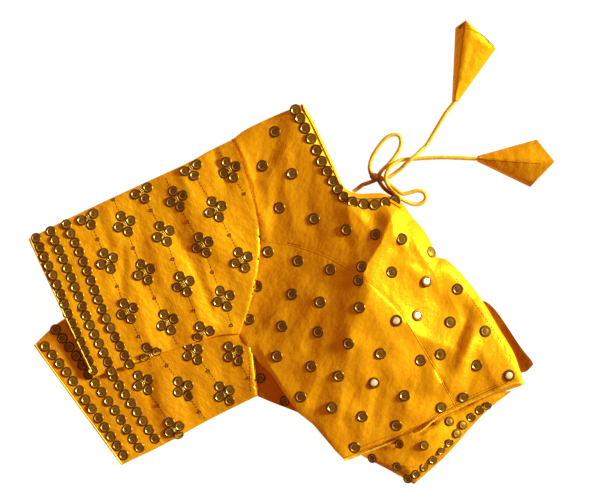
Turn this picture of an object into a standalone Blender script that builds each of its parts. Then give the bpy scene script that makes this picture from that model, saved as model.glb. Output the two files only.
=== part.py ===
"""Choli blouse: a princess-cut saree blouse of raw silk, folded in half lengthwise and laid flat.

The left half lies on top, front up. The right half lies beneath it, so the right sleeve, the right
side panel, a corner of the back and the hook placket show round its edge. Two dori (fabric cords)
leave the neck, are tied in a bow and end in latkans, small kites of folded cloth.

Plan places are in millimetres ACROSS and DOWN a cutting mat whose zero is its back left corner.
plan_to_world() turns them into metres about the middle of the laid-out blouse, with +Z up.
"""

import math

import bmesh
import bpy
from mathutils import Vector

MM = 0.001

# ---- Driving dimensions, in millimetres ----
BLOUSE_MIDDLE = (280.9, 294.2)   # middle of the laid-out blouse on the mat: the part's origin
CLOTH = 1.5                      # silk and its cotton lining, sewn as one wall
SEAM_GAP = 0.3                   # room left between two pieces where they are sewn
LAYER_GAP = 0.6                  # air between two layers that lie on each other
FOLD_RADIUS = 2.4                # how round a pressed fold of the doubled cloth is
ROLL = 9.0                       # how quickly the cloth rises behind a free edge
FRONT_RISE = 12.0                # height of the front over the layers that it hides
SLEEVE_THICK = 7.6               # a sleeve pressed flat, with some air in it
UNDER_SLEEVE_THICK = 5.2         # the sleeve beneath, where the other one presses it
BINDING_WIDTH = 5.0              # bias strip that binds the neck
BINDING_THICK = 1.1
PIPING = 2.2                     # corded piping along each cuff
DORI_THICK = 4.0                 # diameter of the fabric cords
LATKAN_WALL = 1.2                # doubled silk of the kites
LATKAN_RIDGE = 11.0              # height of a kite's raised fold

STEPS_PER_ROW = 2                # finer rows between two rows of a section table
UPPER_SHARES = (0.0, 0.014, 0.04, 0.075, 0.12, 0.18, 0.25, 0.33, 0.415, 0.5)   # finer at the edge
SLEEVE_CELLS = 13                # cells across a sleeve's upper wall

# The front, as sections that turn from the armhole (first row) to the hem (last row). Each runs
# from the upper edge, over the princess seam, to the lower edge.
# bow: how far a section bends towards the hem. rise: height of the lower edge's top face.
# core_in, core_low: how far the hidden layers stop short of the upper and the lower edge.
# corner: 1 where the upper edge turns sharply.
FRONT_COLUMNS = (
    "upper_x", "upper_y", "seam_x", "seam_y", "lower_x", "lower_y",
    "bow", "rise", "core_in", "core_low", "corner",
)
FRONT_SECTIONS = (
    (232.0, 140.0, 260.5, 241.0, 239.0, 334.5, 4.5, 8.0, 3.0, 25.0, 1),
    (245.0, 130.0, 271.0, 242.3, 243.5, 340.0, 3.5, 8.0, 3.0, 25.0, 0),
    (264.0, 120.8, 284.0, 243.8, 247.5, 346.0, 2.5, 7.6, 3.0, 25.0, 0),
    (284.0, 112.0, 296.0, 246.5, 252.0, 352.0, 1.2, 7.2, 3.0, 25.0, 0),
    (303.0, 104.5, 307.0, 249.8, 256.0, 358.0, 0.0, 6.8, 3.0, 25.0, 1),
    (311.5, 118.0, 315.5, 252.6, 260.5, 363.5, 0.0, 6.6, 3.0, 25.0, 0),
    (322.0, 140.0, 324.5, 256.2, 266.0, 368.5, 0.0, 6.4, 3.0, 24.0, 0),
    (332.5, 162.5, 333.5, 260.2, 271.5, 374.0, 0.0, 6.2, 3.0, 22.0, 0),
    (341.0, 182.5, 342.0, 265.0, 277.0, 381.5, 0.0, 6.0, 3.5, 20.0, 0),
    (349.5, 192.0, 350.0, 269.8, 282.0, 389.5, 0.0, 5.8, 4.0, 17.0, 0),
    (366.0, 194.0, 358.0, 274.7, 287.0, 397.0, 0.0, 5.6, 4.0, 15.0, 0),
    (384.0, 193.2, 365.0, 279.0, 292.5, 404.5, 0.0, 5.4, 4.0, 14.0, 0),
    (403.0, 203.6, 371.0, 283.6, 298.0, 412.0, 0.0, 5.2, 4.0, 13.0, 1),
    (412.0, 217.5, 378.0, 290.0, 303.0, 416.0, 0.0, 5.0, 4.0, 12.0, 0),
    (425.5, 232.5, 387.0, 298.6, 308.0, 420.0, 0.0, 5.0, 4.0, 12.0, 0),
    (437.0, 257.5, 398.5, 310.3, 313.5, 424.5, 0.0, 5.0, 9.0, 12.0, 1),
    (446.5, 259.2, 408.0, 324.5, 319.0, 431.0, 0.0, 5.0, 12.0, 12.0, 1),
    (463.0, 275.5, 418.0, 340.5, 324.5, 437.5, 0.0, 5.0, 14.0, 12.0, 0),
    (483.0, 301.5, 427.5, 356.0, 330.0, 444.0, 0.0, 5.0, 18.0, 12.0, 0),
    (502.0, 333.5, 436.5, 372.0, 335.5, 450.5, 0.0, 5.0, 18.0, 12.0, 0),
    (514.5, 354.0, 445.5, 388.5, 340.5, 455.5, 0.0, 5.0, 18.0, 12.0, 0),
    (524.0, 384.3, 456.0, 407.5, 345.0, 460.0, 0.0, 5.0, 18.0, 12.0, 1),
)
UPPER_RISE = 5.2                 # height of the top face along the upper edge
CORE_FROM_ARMHOLE = 6.0
CORE_FROM_HEM = 20.0
SPACING_ROWS = 6                 # rows over which the sections' spacing is averaged
CORE_CELLS = 12                  # cells across the hidden layers
CORE_ROWS = 36
CORE_GAP = 1.0                   # air over the hidden layers along the edge
CORE_SLACK = 2.4                 # and how much more there is away from it
CORE_SLACK_FROM_EDGE = 14.0
CORE_LAYERS = 3                  # hidden layers that can be told apart at the core's edge
CORE_NOTCH = 1.4                 # how far each of them stands out past the groove above it
CORE_GROOVE = 0.1                # height of a groove, as a share of the edge's height
CLIMB_FROM, CLIMB_TO = 75.0, 8.0   # the left sleeve climbs this far ahead of the right one's fold
FREE_FROM, FREE_OVER = 5.0, 16.0   # the right sleeve rises this far past the left one's edge
FREE_RISE = 2.4
STRIP_CELLS = 3

# The sleeves, from the cuff to the armhole, each section from the upper fold to the lower one.
SLEEVE_COLUMNS = ("upper_x", "upper_y", "lower_x", "lower_y")
LEFT_SLEEVE_SECTIONS = (
    (31.0, 237.9, 96.3, 376.9),
    (60.5, 222.5, 114.0, 369.5),
    (96.0, 205.5, 135.0, 363.5),
    (132.0, 188.6, 158.0, 354.5),
    (168.0, 172.2, 180.0, 347.5),
    (194.0, 160.0, 200.0, 341.5),
    (207.5, 151.8, 219.0, 335.5),
    (232.0, 140.0, 239.0, 334.5),
)
RIGHT_SLEEVE_SECTIONS = (
    (36.0, 343.5, 124.0, 463.8),
    (48.5, 331.0, 137.0, 457.5),
    (62.0, 320.0, 152.5, 450.3),
    (100.0, 298.0, 175.5, 438.3),
    (150.0, 272.0, 207.5, 420.5),
    (198.0, 252.0, 234.0, 407.3),
    (241.0, 236.0, 257.0, 396.0),
)

# Pieces of the lower half that show past the front, each section from its hidden to its free edge.
STRIP_COLUMNS = ("hidden_x", "hidden_y", "free_x", "free_y")
RIGHT_SIDE_SECTIONS = (
    (253.9, 352.5, 257.8, 396.2),
    (262.0, 357.5, 268.0, 400.5),
    (270.0, 366.5, 279.0, 405.0),
    (281.0, 377.0, 289.0, 408.5),
    (294.0, 391.5, 299.5, 413.0),
)
BACK_SECTIONS = (
    (352.0, 448.0, 363.0, 456.5),
    (368.0, 441.0, 386.0, 468.0),
    (387.0, 434.0, 401.5, 476.8),
    (400.0, 429.5, 414.0, 484.0),
    (413.0, 424.5, 428.0, 472.0),
    (429.0, 418.0, 449.0, 453.0),
    (446.0, 411.5, 463.0, 436.0),
    (463.0, 404.5, 477.0, 420.0),
    (481.0, 397.5, 496.0, 402.0),
    (496.0, 391.5, 512.0, 391.0),
)
PLACKET_SECTIONS = (
    (473.0, 301.0, 486.0, 301.0),
    (480.0, 311.0, 495.0, 309.0),
    (488.0, 323.0, 504.0, 322.0),
    (496.0, 336.0, 513.0, 336.0),
    (503.0, 348.5, 522.0, 350.0),
    (508.0, 358.0, 531.0, 359.5),
    (512.0, 367.0, 533.0, 364.0),
    (514.0, 374.0, 527.0, 371.5),
)
UNDER_WALL = 2.0
PLACKET_WALL = 2.8

# The largest folds and hollows: (from_x, from_y, to_x, to_y, half_width, height).
FRONT_FOLDS = (
    (384.0, 250.0, 370.0, 302.0, 56.0, 15.0),    # bust cup, fullest at the princess seam's turn
    (398.0, 214.0, 370.0, 272.0, 9.0, 4.0),      # pinched fold from the neck to the cup
    (372.0, 218.0, 350.0, 236.0, 13.0, -4.0),    # hollow on its left
    (424.0, 240.0, 470.0, 292.0, 16.0, 2.5),     # full fold along the centre front
    (468.0, 316.0, 450.0, 356.0, 9.0, -4.0),     # hollow that crosses it towards the hem
    (408.0, 326.0, 440.0, 348.0, 12.0, 3.0),     # fold under the cup
    (268.0, 318.0, 300.0, 286.0, 9.0, 3.5),      # pulled from the underarm over the side
    (282.0, 352.0, 312.0, 372.0, 9.0, 2.5),
    (334.0, 362.0, 342.0, 412.0, 9.0, 3.0),      # soft folds that run down to the hem
    (380.0, 372.0, 402.0, 412.0, 11.0, 2.5),
    (270.0, 208.0, 300.0, 160.0, 14.0, -3.0),    # shoulder hollow
    (250.0, 190.0, 266.0, 236.0, 7.0, 2.5),      # pulled along the armhole
)
SLEEVE_FOLDS = (
    (170.0, 176.0, 214.0, 240.0, 16.0, 4.0),
    (170.0, 244.0, 208.0, 330.0, 8.0, 2.4),
    (138.0, 296.0, 148.0, 346.0, 9.0, 2.0),
    (66.0, 236.0, 98.0, 350.0, 7.0, 1.4),
)
UNDER_SLEEVE_FOLDS = (
    (162.0, 388.0, 178.0, 432.0, 12.0, 2.6),
    (206.0, 368.0, 226.0, 396.0, 10.0, 1.4),
)

# Dori, by the route of their middle line: (x, y, z), a place on the mat and its height.
DORI_ROUTES = {
    "dori_left_lead": (
        (353.0, 191.8, 2.3), (357.8, 188.6, 2.3), (362.3, 185.0, 2.3),
        (366.2, 183.7, 2.3), (370.0, 182.3, 2.3),
    ),
    "dori_left_loop": (
        (370.8, 173.2, 2.6), (369.6, 167.0, 2.4), (371.0, 160.2, 2.3), (373.9, 153.8, 2.3),
        (379.0, 146.2, 2.3), (385.5, 138.6, 2.3), (392.5, 134.8, 2.3), (398.3, 135.2, 2.3),
        (400.8, 140.0, 2.3), (400.3, 146.5, 2.3), (397.0, 153.5, 2.3), (392.6, 159.6, 2.8),
        (388.4, 164.4, 2.9), (383.6, 168.9, 2.4), (380.6, 172.3, 2.6),
    ),
    "dori_left_end": (
        (384.9, 178.6, 2.3), (389.2, 177.0, 2.3), (394.0, 174.0, 2.3), (400.8, 168.7, 3.6),
        (405.8, 163.8, 5.8), (411.0, 159.3, 6.8), (416.6, 154.6, 5.8), (421.5, 149.6, 3.6),
        (426.6, 145.0, 2.4), (433.2, 134.0, 2.3), (439.0, 124.2, 2.3), (446.2, 112.4, 2.3),
        (453.0, 103.9, 2.3),
    ),
    "dori_right_lead": (
        (381.0, 184.2, 2.5), (384.2, 188.2, 2.3), (388.5, 191.9, 2.3), (394.0, 194.9, 2.3),
        (399.8, 198.6, 2.3),
    ),
    "dori_right_strand": (
        (475.0, 158.7, 2.3), (460.0, 158.0, 2.3), (445.0, 157.5, 2.3), (430.0, 157.8, 2.3),
        (418.0, 158.6, 2.3), (408.0, 159.3, 2.3), (400.5, 160.2, 2.9), (394.5, 163.5, 4.6),
        (389.2, 168.4, 7.2), (386.0, 174.0, 7.8), (385.6, 180.5, 7.4), (389.0, 187.4, 7.0),
        (394.6, 193.2, 7.0), (401.0, 198.6, 6.9), (408.4, 202.6, 4.4), (416.2, 204.3, 2.6),
        (422.8, 202.6, 2.3), (425.8, 197.6, 2.3), (423.4, 192.2, 2.3), (417.0, 190.6, 2.3),
        (409.2, 192.8, 2.3), (402.5, 193.8, 2.3), (396.4, 190.3, 2.3), (390.4, 185.4, 2.4),
    ),
}
DORI_POINT_SPACING = 9.0         # a point every two diameters or so
KNOT_PLACE = (376.6, 177.6, 3.1)
KNOT_HALF_SIZES = (7.4, 4.2, 2.9)
KNOT_TURN = math.radians(-20.0)

# Latkans: the tip that holds the cord, the left corner, the raised fold's far end and the right corner.
LATKANS = {
    "latkan_upper": ((454.8, 101.6), (455.4, 27.8), (465.6, 20.6), (496.0, 48.4)),
    "latkan_right": ((477.4, 158.8), (536.6, 139.6), (554.0, 162.0), (530.2, 187.0)),
}
LATKAN_TIP_HALF = 2.9            # half width of the cloth gathered round the cord
LATKAN_TIP_HEIGHT = 4.8
LATKAN_EDGE = 3.0                # cloth between a side fold and the hollow
LATKAN_STEPS = 7

SILK = ("silk", (0.85, 0.42, 0.02, 1.0), 0.45)
LINING = ("shaded_silk", (0.45, 0.17, 0.01, 1.0), 0.6)
CORD = ("dori_silk", (0.72, 0.42, 0.04, 1.0), 0.5)


# ---- Tables, curves and heights ----

def plan_to_world(across, down, height):
    return Vector((
        (across - BLOUSE_MIDDLE[0]) * MM,
        (BLOUSE_MIDDLE[1] - down) * MM,
        height * MM,
    ))


def column(rows, columns, name):
    index = columns.index(name)
    return [row[index] for row in rows]


def smooth_column(values, corners, steps):
    """Values between the rows on a smooth curve, which breaks where corners holds 1."""
    last = len(values) - 1
    slopes_in, slopes_out = [], []
    for i in range(last + 1):
        before = values[i] - values[i - 1] if i > 0 else values[1] - values[0]
        after = values[i + 1] - values[i] if i < last else values[last] - values[last - 1]
        sharp = corners[i] == 1
        slopes_in.append(before if sharp else (before + after) / 2)
        slopes_out.append(after if sharp else (before + after) / 2)
    found = []
    for i in range(last):
        for step in range(steps):
            t = step / steps
            start, end = values[i], values[i + 1]
            out, into = slopes_out[i], slopes_in[i + 1]
            found.append(
                (2 * t**3 - 3 * t**2 + 1) * start + (t**3 - 2 * t**2 + t) * out
                + (3 * t**2 - 2 * t**3) * end + (t**3 - t**2) * into
            )
    found.append(values[last])
    return found


def smooth_points(rows, columns, names, corners, steps):
    """A curve through the named columns of a table, as tuples."""
    return list(zip(*[
        smooth_column(column(rows, columns, name), corners, steps) for name in names
    ]))


def between(start, end, t):
    return tuple(a + (b - a) * t for a, b in zip(start, end))


def eased(t):
    """From 0 to 1 with level ends."""
    t = min(max(t, 0.0), 1.0)
    return t * t * (3 - 2 * t)


def distance_to_run(x, y, run):
    """How far a place is from a line of points."""
    nearest = math.inf
    for (ax, ay), (bx, by) in zip(run, run[1:]):
        length = (bx - ax) ** 2 + (by - ay) ** 2
        t = ((x - ax) * (bx - ax) + (y - ay) * (by - ay)) / length if length else 0.0
        t = min(max(t, 0.0), 1.0)
        nearest = min(nearest, math.hypot(x - ax - (bx - ax) * t, y - ay - (by - ay) * t))
    return nearest


def fold_height(x, y, folds):
    """What the folds add at a place: each is a soft ridge, or a trough, that fades at its ends."""
    total = 0.0
    for from_x, from_y, to_x, to_y, half_width, height in folds:
        distance = distance_to_run(x, y, ((from_x, from_y), (to_x, to_y)))
        total += height * math.exp(-((distance / half_width) ** 2))
    return total


def rolled(distance, edge, inner):
    """Height behind a free edge: it leaves the edge's height and reaches the inner one."""
    return edge + (inner - edge) * (1 - math.exp(-distance / ROLL))


# ---- Meshes ----

def cloth_material(name, colour, roughness):
    material = bpy.data.materials.get(name) or bpy.data.materials.new(name)
    material.use_nodes = True
    shader = material.node_tree.nodes["Principled BSDF"]
    shader.inputs["Base Color"].default_value = colour
    shader.inputs["Roughness"].default_value = roughness
    shader.inputs["Metallic"].default_value = 0.0
    return material


def add_object(name, mesh_data, finish):
    mesh = bpy.data.meshes.new(name)
    mesh_data.to_mesh(mesh)
    mesh_data.free()
    mesh.materials.append(cloth_material(*finish))
    mesh.shade_smooth()
    mesh.set_sharp_from_angle(angle=math.radians(40))
    found = bpy.data.objects.new(name, mesh)
    bpy.context.scene.collection.objects.link(found)
    return found


def grid_faces(form, grid, flipped=False):
    """Triangles over a grid of vertices, with the same diagonals on both faces of a wall."""
    for near, far in zip(grid, grid[1:]):
        for i in range(len(near) - 1):
            for corners in ([near[i], near[i + 1], far[i + 1]], [near[i], far[i + 1], far[i]]):
                form.faces.new(corners[::-1] if flipped else corners)


def grid_rim(grid):
    """The vertices round a grid, once each, in order."""
    upper, lower = grid[0], grid[-1]
    right = [row[-1] for row in grid[1:-1]]
    left = [row[0] for row in grid[1:-1]]
    return upper + right + lower[::-1] + left[::-1]


def join_loops(form, first, second):
    count = len(first)
    for i in range(count):
        after = (i + 1) % count
        form.faces.new([first[i], first[after], second[after], second[i]])


def wall(name, top, under_height, finish):
    """A closed cloth wall under a grid of (x, y, z) places; under_height gives the underside from z."""
    form = bmesh.new()
    over = [[form.verts.new(plan_to_world(*place)) for place in row] for row in top]
    under = [
        [form.verts.new(plan_to_world(x, y, under_height(z))) for x, y, z in row] for row in top
    ]
    grid_faces(form, over)
    grid_faces(form, under, flipped=True)
    join_loops(form, grid_rim(under), grid_rim(over))
    bmesh.ops.recalc_face_normals(form, faces=form.faces)
    return add_object(name, form, finish)


def tube(name, outer, inner, finish):
    """An open-ended cloth tube from equal lists of outer and inner rings."""
    form = bmesh.new()
    skins = [
        [[form.verts.new(plan_to_world(*place)) for place in ring] for ring in rings]
        for rings in (outer, inner)
    ]
    for skin in skins:
        for near, far in zip(skin, skin[1:]):
            join_loops(form, near, far)
    join_loops(form, skins[0][0], skins[1][0])
    join_loops(form, skins[0][-1], skins[1][-1])
    bmesh.ops.recalc_face_normals(form, faces=form.faces)
    return add_object(name, form, finish)


# ---- The front ----

CORNERS = column(FRONT_SECTIONS, FRONT_COLUMNS, "corner")
SMOOTH = [0] * len(FRONT_SECTIONS)
UPPER_EDGE = smooth_points(FRONT_SECTIONS, FRONT_COLUMNS, ("upper_x", "upper_y"), CORNERS, STEPS_PER_ROW)
SEAM = smooth_points(FRONT_SECTIONS, FRONT_COLUMNS, ("seam_x", "seam_y"), SMOOTH, STEPS_PER_ROW)
LOWER_EDGE = smooth_points(FRONT_SECTIONS, FRONT_COLUMNS, ("lower_x", "lower_y"), SMOOTH, STEPS_PER_ROW)
BOW, RISE, CORE_IN, CORE_LOW = (
    smooth_column(column(FRONT_SECTIONS, FRONT_COLUMNS, name), SMOOTH, STEPS_PER_ROW)
    for name in ("bow", "rise", "core_in", "core_low")
)
FRONT_EDGE = UPPER_EDGE + [SEAM[-1]] + LOWER_EDGE[::-1]


def at_row(values, row):
    """A value, or a place, at a row that may lie between two others."""
    first = min(int(row), len(values) - 2)
    start, end = values[first], values[first + 1]
    if isinstance(start, tuple):
        return between(start, end, row - first)
    return start + (end - start) * (row - first)


def front_place(row, t):
    """Plan place on a section, from the upper edge (0) over the seam (0.5) to the lower edge (1)."""
    start, end, part = at_row(UPPER_EDGE, row), at_row(SEAM, row), t * 2
    if t > 0.5:
        start, end, part = end, at_row(LOWER_EDGE, row), t * 2 - 1
    x, y = between(start, end, part)
    return x + at_row(BOW, row) * 4 * part * (1 - part), y


def front_height(x, y, rise):
    """Height of the front's top face, where the nearest free edge lies at rise."""
    inner = FRONT_RISE + fold_height(x, y, FRONT_FOLDS)
    return rolled(distance_to_run(x, y, FRONT_EDGE), rise, inner)


def edge_rise(row, t):
    """Height of the free edges that a section runs between."""
    return UPPER_RISE + (at_row(RISE, row) - UPPER_RISE) * eased(t)


def front_point(row, t):
    x, y = front_place(row, t)
    return x, y, front_height(x, y, edge_rise(row, t))


def moved_off_seam(row, side):
    """The seam's points, moved half a gap to one side of the princess seam."""
    x, y, z = front_point(row, 0.5)
    before, after = SEAM[max(row - 1, 0)], SEAM[min(row + 1, len(SEAM) - 1)]
    along = Vector((after[0] - before[0], after[1] - before[1])).normalized()
    return x + along.y * side * SEAM_GAP, y - along.x * side * SEAM_GAP, z


def front_panel(name, row_shares, seam_side):
    """The part of the front that lies between these shares of its sections."""
    grid = []
    for row in range(len(SEAM)):
        line = []
        for t in row_shares:
            line.append(moved_off_seam(row, seam_side) if t == 0.5 else front_point(row, t))
        grid.append(line)
    grid[0] = [(x + SEAM_GAP, y, z) for x, y, z in grid[0]]
    return wall(name, grid, lambda z: z - CLOTH, SILK)


def neck_binding():
    """Bias strip along the neck edge, made from the panel's own points and lifted off them."""
    first_row = 4 * STEPS_PER_ROW
    last_row = 12 * STEPS_PER_ROW
    grid = []
    for row in range(first_row, last_row + 1):
        upper, seam = UPPER_EDGE[row], SEAM[row]
        length = math.dist(upper, seam)
        line = []
        for part in (0.0, 0.5, 1.0):
            t = 0.5 * (0.2 + BINDING_WIDTH * part) / length
            x, y, z = front_point(row, t)
            line.append((x, y, z + LAYER_GAP + BINDING_THICK))
        grid.append(line)
    return wall("neck_binding", grid, lambda z: z - BINDING_THICK, SILK)


def inward_normals(ring):
    """Unit plan vectors that point into a closed ring of vertices."""
    count = len(ring)
    area = sum(
        ring[i].co.x * ring[(i + 1) % count].co.y - ring[(i + 1) % count].co.x * ring[i].co.y
        for i in range(count)
    )
    normals = []
    for i in range(count):
        along = (ring[(i + 1) % count].co - ring[i - 1].co).to_2d().normalized()
        normals.append(Vector((-along.y, along.x)) * (1 if area > 0 else -1))
    return normals


def row_spacing(row, t):
    """Distance from one fine row to the next, at a share of their length."""
    return math.dist(front_place(row, t), front_place(row + SPACING_ROWS, t)) / SPACING_ROWS


def hidden_layers():
    """The layers that the front hides, as one solid: flat beneath, stepped into layers at its edge."""
    last = len(SEAM) - 1
    grid = []
    for number in range(CORE_ROWS + 1):
        line = []
        for cell in range(CORE_CELLS + 1):
            share = 0.5 - 0.5 * math.cos(math.pi * cell / CORE_CELLS)
            first_row = CORE_FROM_ARMHOLE / row_spacing(0, share)
            last_row = last - CORE_FROM_HEM / row_spacing(last - SPACING_ROWS, share)
            row = first_row + (last_row - first_row) * number / CORE_ROWS
            length = math.dist(at_row(UPPER_EDGE, row), at_row(SEAM, row))
            length += math.dist(at_row(SEAM, row), at_row(LOWER_EDGE, row))
            first_t = at_row(CORE_IN, row) / length
            last_t = 1 - at_row(CORE_LOW, row) / length
            x, y, z = front_point(row, first_t + (last_t - first_t) * share)
            slack = CORE_SLACK * eased(distance_to_run(x, y, FRONT_EDGE) / CORE_SLACK_FROM_EDGE)
            line.append((x, y, z - CLOTH - CORE_GAP - slack))
        grid.append(line)
    form = bmesh.new()
    top = [[form.verts.new(plan_to_world(*place)) for place in row] for row in grid]
    grid_faces(form, top)
    rim = grid_rim(top)
    normals = inward_normals(rim)
    steps = []
    for number in range(CORE_LAYERS - 1, 0, -1):
        under, over = number / CORE_LAYERS, number / CORE_LAYERS + CORE_GROOVE
        steps += [(over, 0.0), (over, CORE_NOTCH), (under, CORE_NOTCH), (under, 0.0)]
    steps.append((0.0, 0.0))
    ring = rim
    for share, inset in steps:
        lower_ring = []
        for vertex, normal in zip(rim, normals):
            place = vertex.co.to_2d() + normal * inset * MM
            lower_ring.append(form.verts.new((place.x, place.y, vertex.co.z * share)))
        join_loops(form, ring, lower_ring)
        ring = lower_ring
    form.faces.new(ring)
    bmesh.ops.recalc_face_normals(form, faces=form.faces)
    return add_object("hidden_layers", form, LINING)


# ---- The sleeves ----

def signed_distance(x, y, run):
    """Distance to a line of points, positive on its lower side as it is followed to the right."""
    nearest, side = math.inf, 1.0
    for start, end in zip(run, run[1:]):
        distance = distance_to_run(x, y, (start, end))
        if distance < nearest:
            nearest = distance
            cross = (end[0] - start[0]) * (y - start[1]) - (end[1] - start[1]) * (x - start[0])
            side = 1.0 if cross >= 0 else -1.0
    return nearest * side


class Sleeve:
    """A sleeve pressed flat: plan curves along its two folds, and the heights of its two walls."""

    def __init__(self, sections):
        smooth = [0] * len(sections)
        self.upper = smooth_points(sections, SLEEVE_COLUMNS, ("upper_x", "upper_y"), smooth, STEPS_PER_ROW)
        self.lower = smooth_points(sections, SLEEVE_COLUMNS, ("lower_x", "lower_y"), smooth, STEPS_PER_ROW)
        self.rows = len(self.upper)

    def place(self, row, distance, length):
        t = distance / length
        x, y = between(self.upper[row], self.lower[row], t)
        off_x, off_y = self.end_offset(t)
        share = (row / (self.rows - 1)) ** 2
        return x + off_x * share, y + off_y * share

    def end_offset(self, t):
        return 0.0, 0.0

    def rings(self, row):
        """Outer and inner ring of one section: upper wall, lower fold, under wall, upper fold."""
        length = math.dist(self.upper[row], self.lower[row])
        flat = length - 2 * FOLD_RADIUS
        spots = [FOLD_RADIUS + flat * cell / SLEEVE_CELLS for cell in range(SLEEVE_CELLS + 1)]
        outer, inner = [], []
        for spot in spots:
            x, y = self.place(row, spot, length)
            top = self.top(x, y, row, spot / length)
            outer.append((x, y, top))
            inner.append((x, y, top - CLOTH))
        self.add_fold(row, length, length - FOLD_RADIUS, (45, 0, -45), outer, inner)
        for spot in reversed(spots):
            x, y = self.place(row, spot, length)
            under = self.under(x, y)
            outer.append((x, y, under))
            inner.append((x, y, under + CLOTH))
        self.add_fold(row, length, FOLD_RADIUS, (225, 180, 135), outer, inner)
        return outer, inner

    def add_fold(self, row, length, middle, angles, outer, inner):
        middle_height = self.under(*self.place(row, middle, length)) + FOLD_RADIUS
        for ring, radius in ((outer, FOLD_RADIUS), (inner, FOLD_RADIUS - CLOTH)):
            for angle in angles:
                turn = math.radians(angle)
                x, y = self.place(row, middle + radius * math.cos(turn), length)
                ring.append((x, y, middle_height + radius * math.sin(turn)))

    def build(self, name, finish):
        outer, inner = zip(*[self.rings(row) for row in range(self.rows)])
        return tube(name, outer, inner, finish)

    def piping(self, name, finish):
        """A short ring of corded piping just ahead of the cuff."""
        outer, inner = self.rings(0)
        middles = [between(self.upper[row], self.lower[row], 0.5) for row in (0, 1)]
        length = math.dist(*middles)
        out_x = (middles[0][0] - middles[1][0]) / length
        out_y = (middles[0][1] - middles[1][1]) / length

        def moved(ring, by):
            return [(x + out_x * by, y + out_y * by, z) for x, y, z in ring]

        reach = (SEAM_GAP, SEAM_GAP + PIPING)
        return tube(name, [moved(outer, by) for by in reach], [moved(inner, by) for by in reach], finish)


RIGHT_UPPER_FOLD = [row[:2] for row in RIGHT_SLEEVE_SECTIONS]
LEFT_OUTLINE = [LEFT_SLEEVE_SECTIONS[0][:2]] + [row[2:] for row in LEFT_SLEEVE_SECTIONS]


class LeftSleeve(Sleeve):
    """The sleeve on top: it rests on the mat along its upper fold and climbs onto the other one."""

    def end_offset(self, t):
        x, y = front_place(0, t)
        chord_x, chord_y = between(self.upper[-1], self.lower[-1], t)
        return x - chord_x - SEAM_GAP, y - chord_y

    def under(self, x, y):
        climbed = (signed_distance(x, y, RIGHT_UPPER_FOLD) + CLIMB_FROM) / (CLIMB_FROM - CLIMB_TO)
        return (UNDER_SLEEVE_THICK + LAYER_GAP) * eased(climbed)

    def top(self, x, y, row, t):
        folds = distance_to_run(x, y, self.upper), distance_to_run(x, y, self.lower)
        inner = SLEEVE_THICK + fold_height(x, y, SLEEVE_FOLDS)
        own = self.under(x, y) + rolled(max(min(folds) - FOLD_RADIUS, 0.0), 2 * FOLD_RADIUS, inner)
        near_front = eased((row / (self.rows - 1) - 0.8) / 0.2)
        front_x, front_y = front_place(0, t)
        front = max(front_height(front_x, front_y, edge_rise(0, t)), self.under(x, y) + 2 * FOLD_RADIUS)
        return own + (front - own) * near_front


class RightSleeve(Sleeve):
    """The sleeve beneath: flat on the mat, pressed where the other sleeve lies on it."""

    def under(self, x, y):
        return 0.0

    def top(self, x, y, row, t):
        folds = distance_to_run(x, y, self.upper), distance_to_run(x, y, self.lower)
        from_front = distance_to_run(x, y, LOWER_EDGE)
        free = eased((min(signed_distance(x, y, LEFT_OUTLINE), from_front) - FREE_FROM) / FREE_OVER)
        inner = UNDER_SLEEVE_THICK + free * (FREE_RISE + fold_height(x, y, UNDER_SLEEVE_FOLDS))
        return rolled(max(min(folds) - FOLD_RADIUS, 0.0), 2 * FOLD_RADIUS, inner)


# ---- Pieces of the lower half that show past the front ----

def strip(name, sections, thickness, waves, wave_height, finish):
    """A cloth strip on the mat, whose top face lifts a little in waves along its free edge."""
    smooth = [0] * len(sections)
    hidden = smooth_points(sections, STRIP_COLUMNS, ("hidden_x", "hidden_y"), smooth, 1)
    free = smooth_points(sections, STRIP_COLUMNS, ("free_x", "free_y"), smooth, 1)
    grid = []
    for number, (start, end) in enumerate(zip(hidden, free)):
        lift = wave_height * math.sin(math.pi * waves * number / (len(sections) - 1)) ** 2
        line = []
        for cell in range(STRIP_CELLS + 1):
            t = cell / STRIP_CELLS
            x, y = between(start, end, t)
            line.append((x, y, thickness + lift * math.sin(math.pi * t)))
        grid.append(line)
    return wall(name, grid, lambda z: 0.0, finish)


# ---- Dori, knot and latkans ----

def route_points(route, spacing):
    """Evenly spaced places on a smooth curve through a cord's route."""
    smooth = [0] * len(route)
    fine = list(zip(*[
        smooth_column([place[axis] for place in route], smooth, 12) for axis in range(3)
    ]))
    lengths = [0.0]
    for start, end in zip(fine, fine[1:]):
        lengths.append(lengths[-1] + math.dist(start, end))
    count = max(round(lengths[-1] / spacing), 3)
    found, index = [], 0
    for number in range(count + 1):
        wanted = lengths[-1] * number / count
        while index < len(fine) - 2 and lengths[index + 1] < wanted:
            index += 1
        run = lengths[index + 1] - lengths[index]
        found.append(between(fine[index], fine[index + 1], (wanted - lengths[index]) / run))
    return found


def dori(name, route):
    curve = bpy.data.curves.new(name, "CURVE")
    curve.dimensions = "3D"
    curve.bevel_depth = DORI_THICK / 2 * MM
    curve.bevel_resolution = 2
    curve.use_fill_caps = True
    places = route_points(route, DORI_POINT_SPACING)
    spline = curve.splines.new("POLY")
    spline.points.add(len(places) - 1)
    for point, place in zip(spline.points, places):
        point.co = (*plan_to_world(*place), 1.0)
    curve.materials.append(cloth_material(*CORD))
    found = bpy.data.objects.new(name, curve)
    bpy.context.scene.collection.objects.link(found)
    return found


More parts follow.
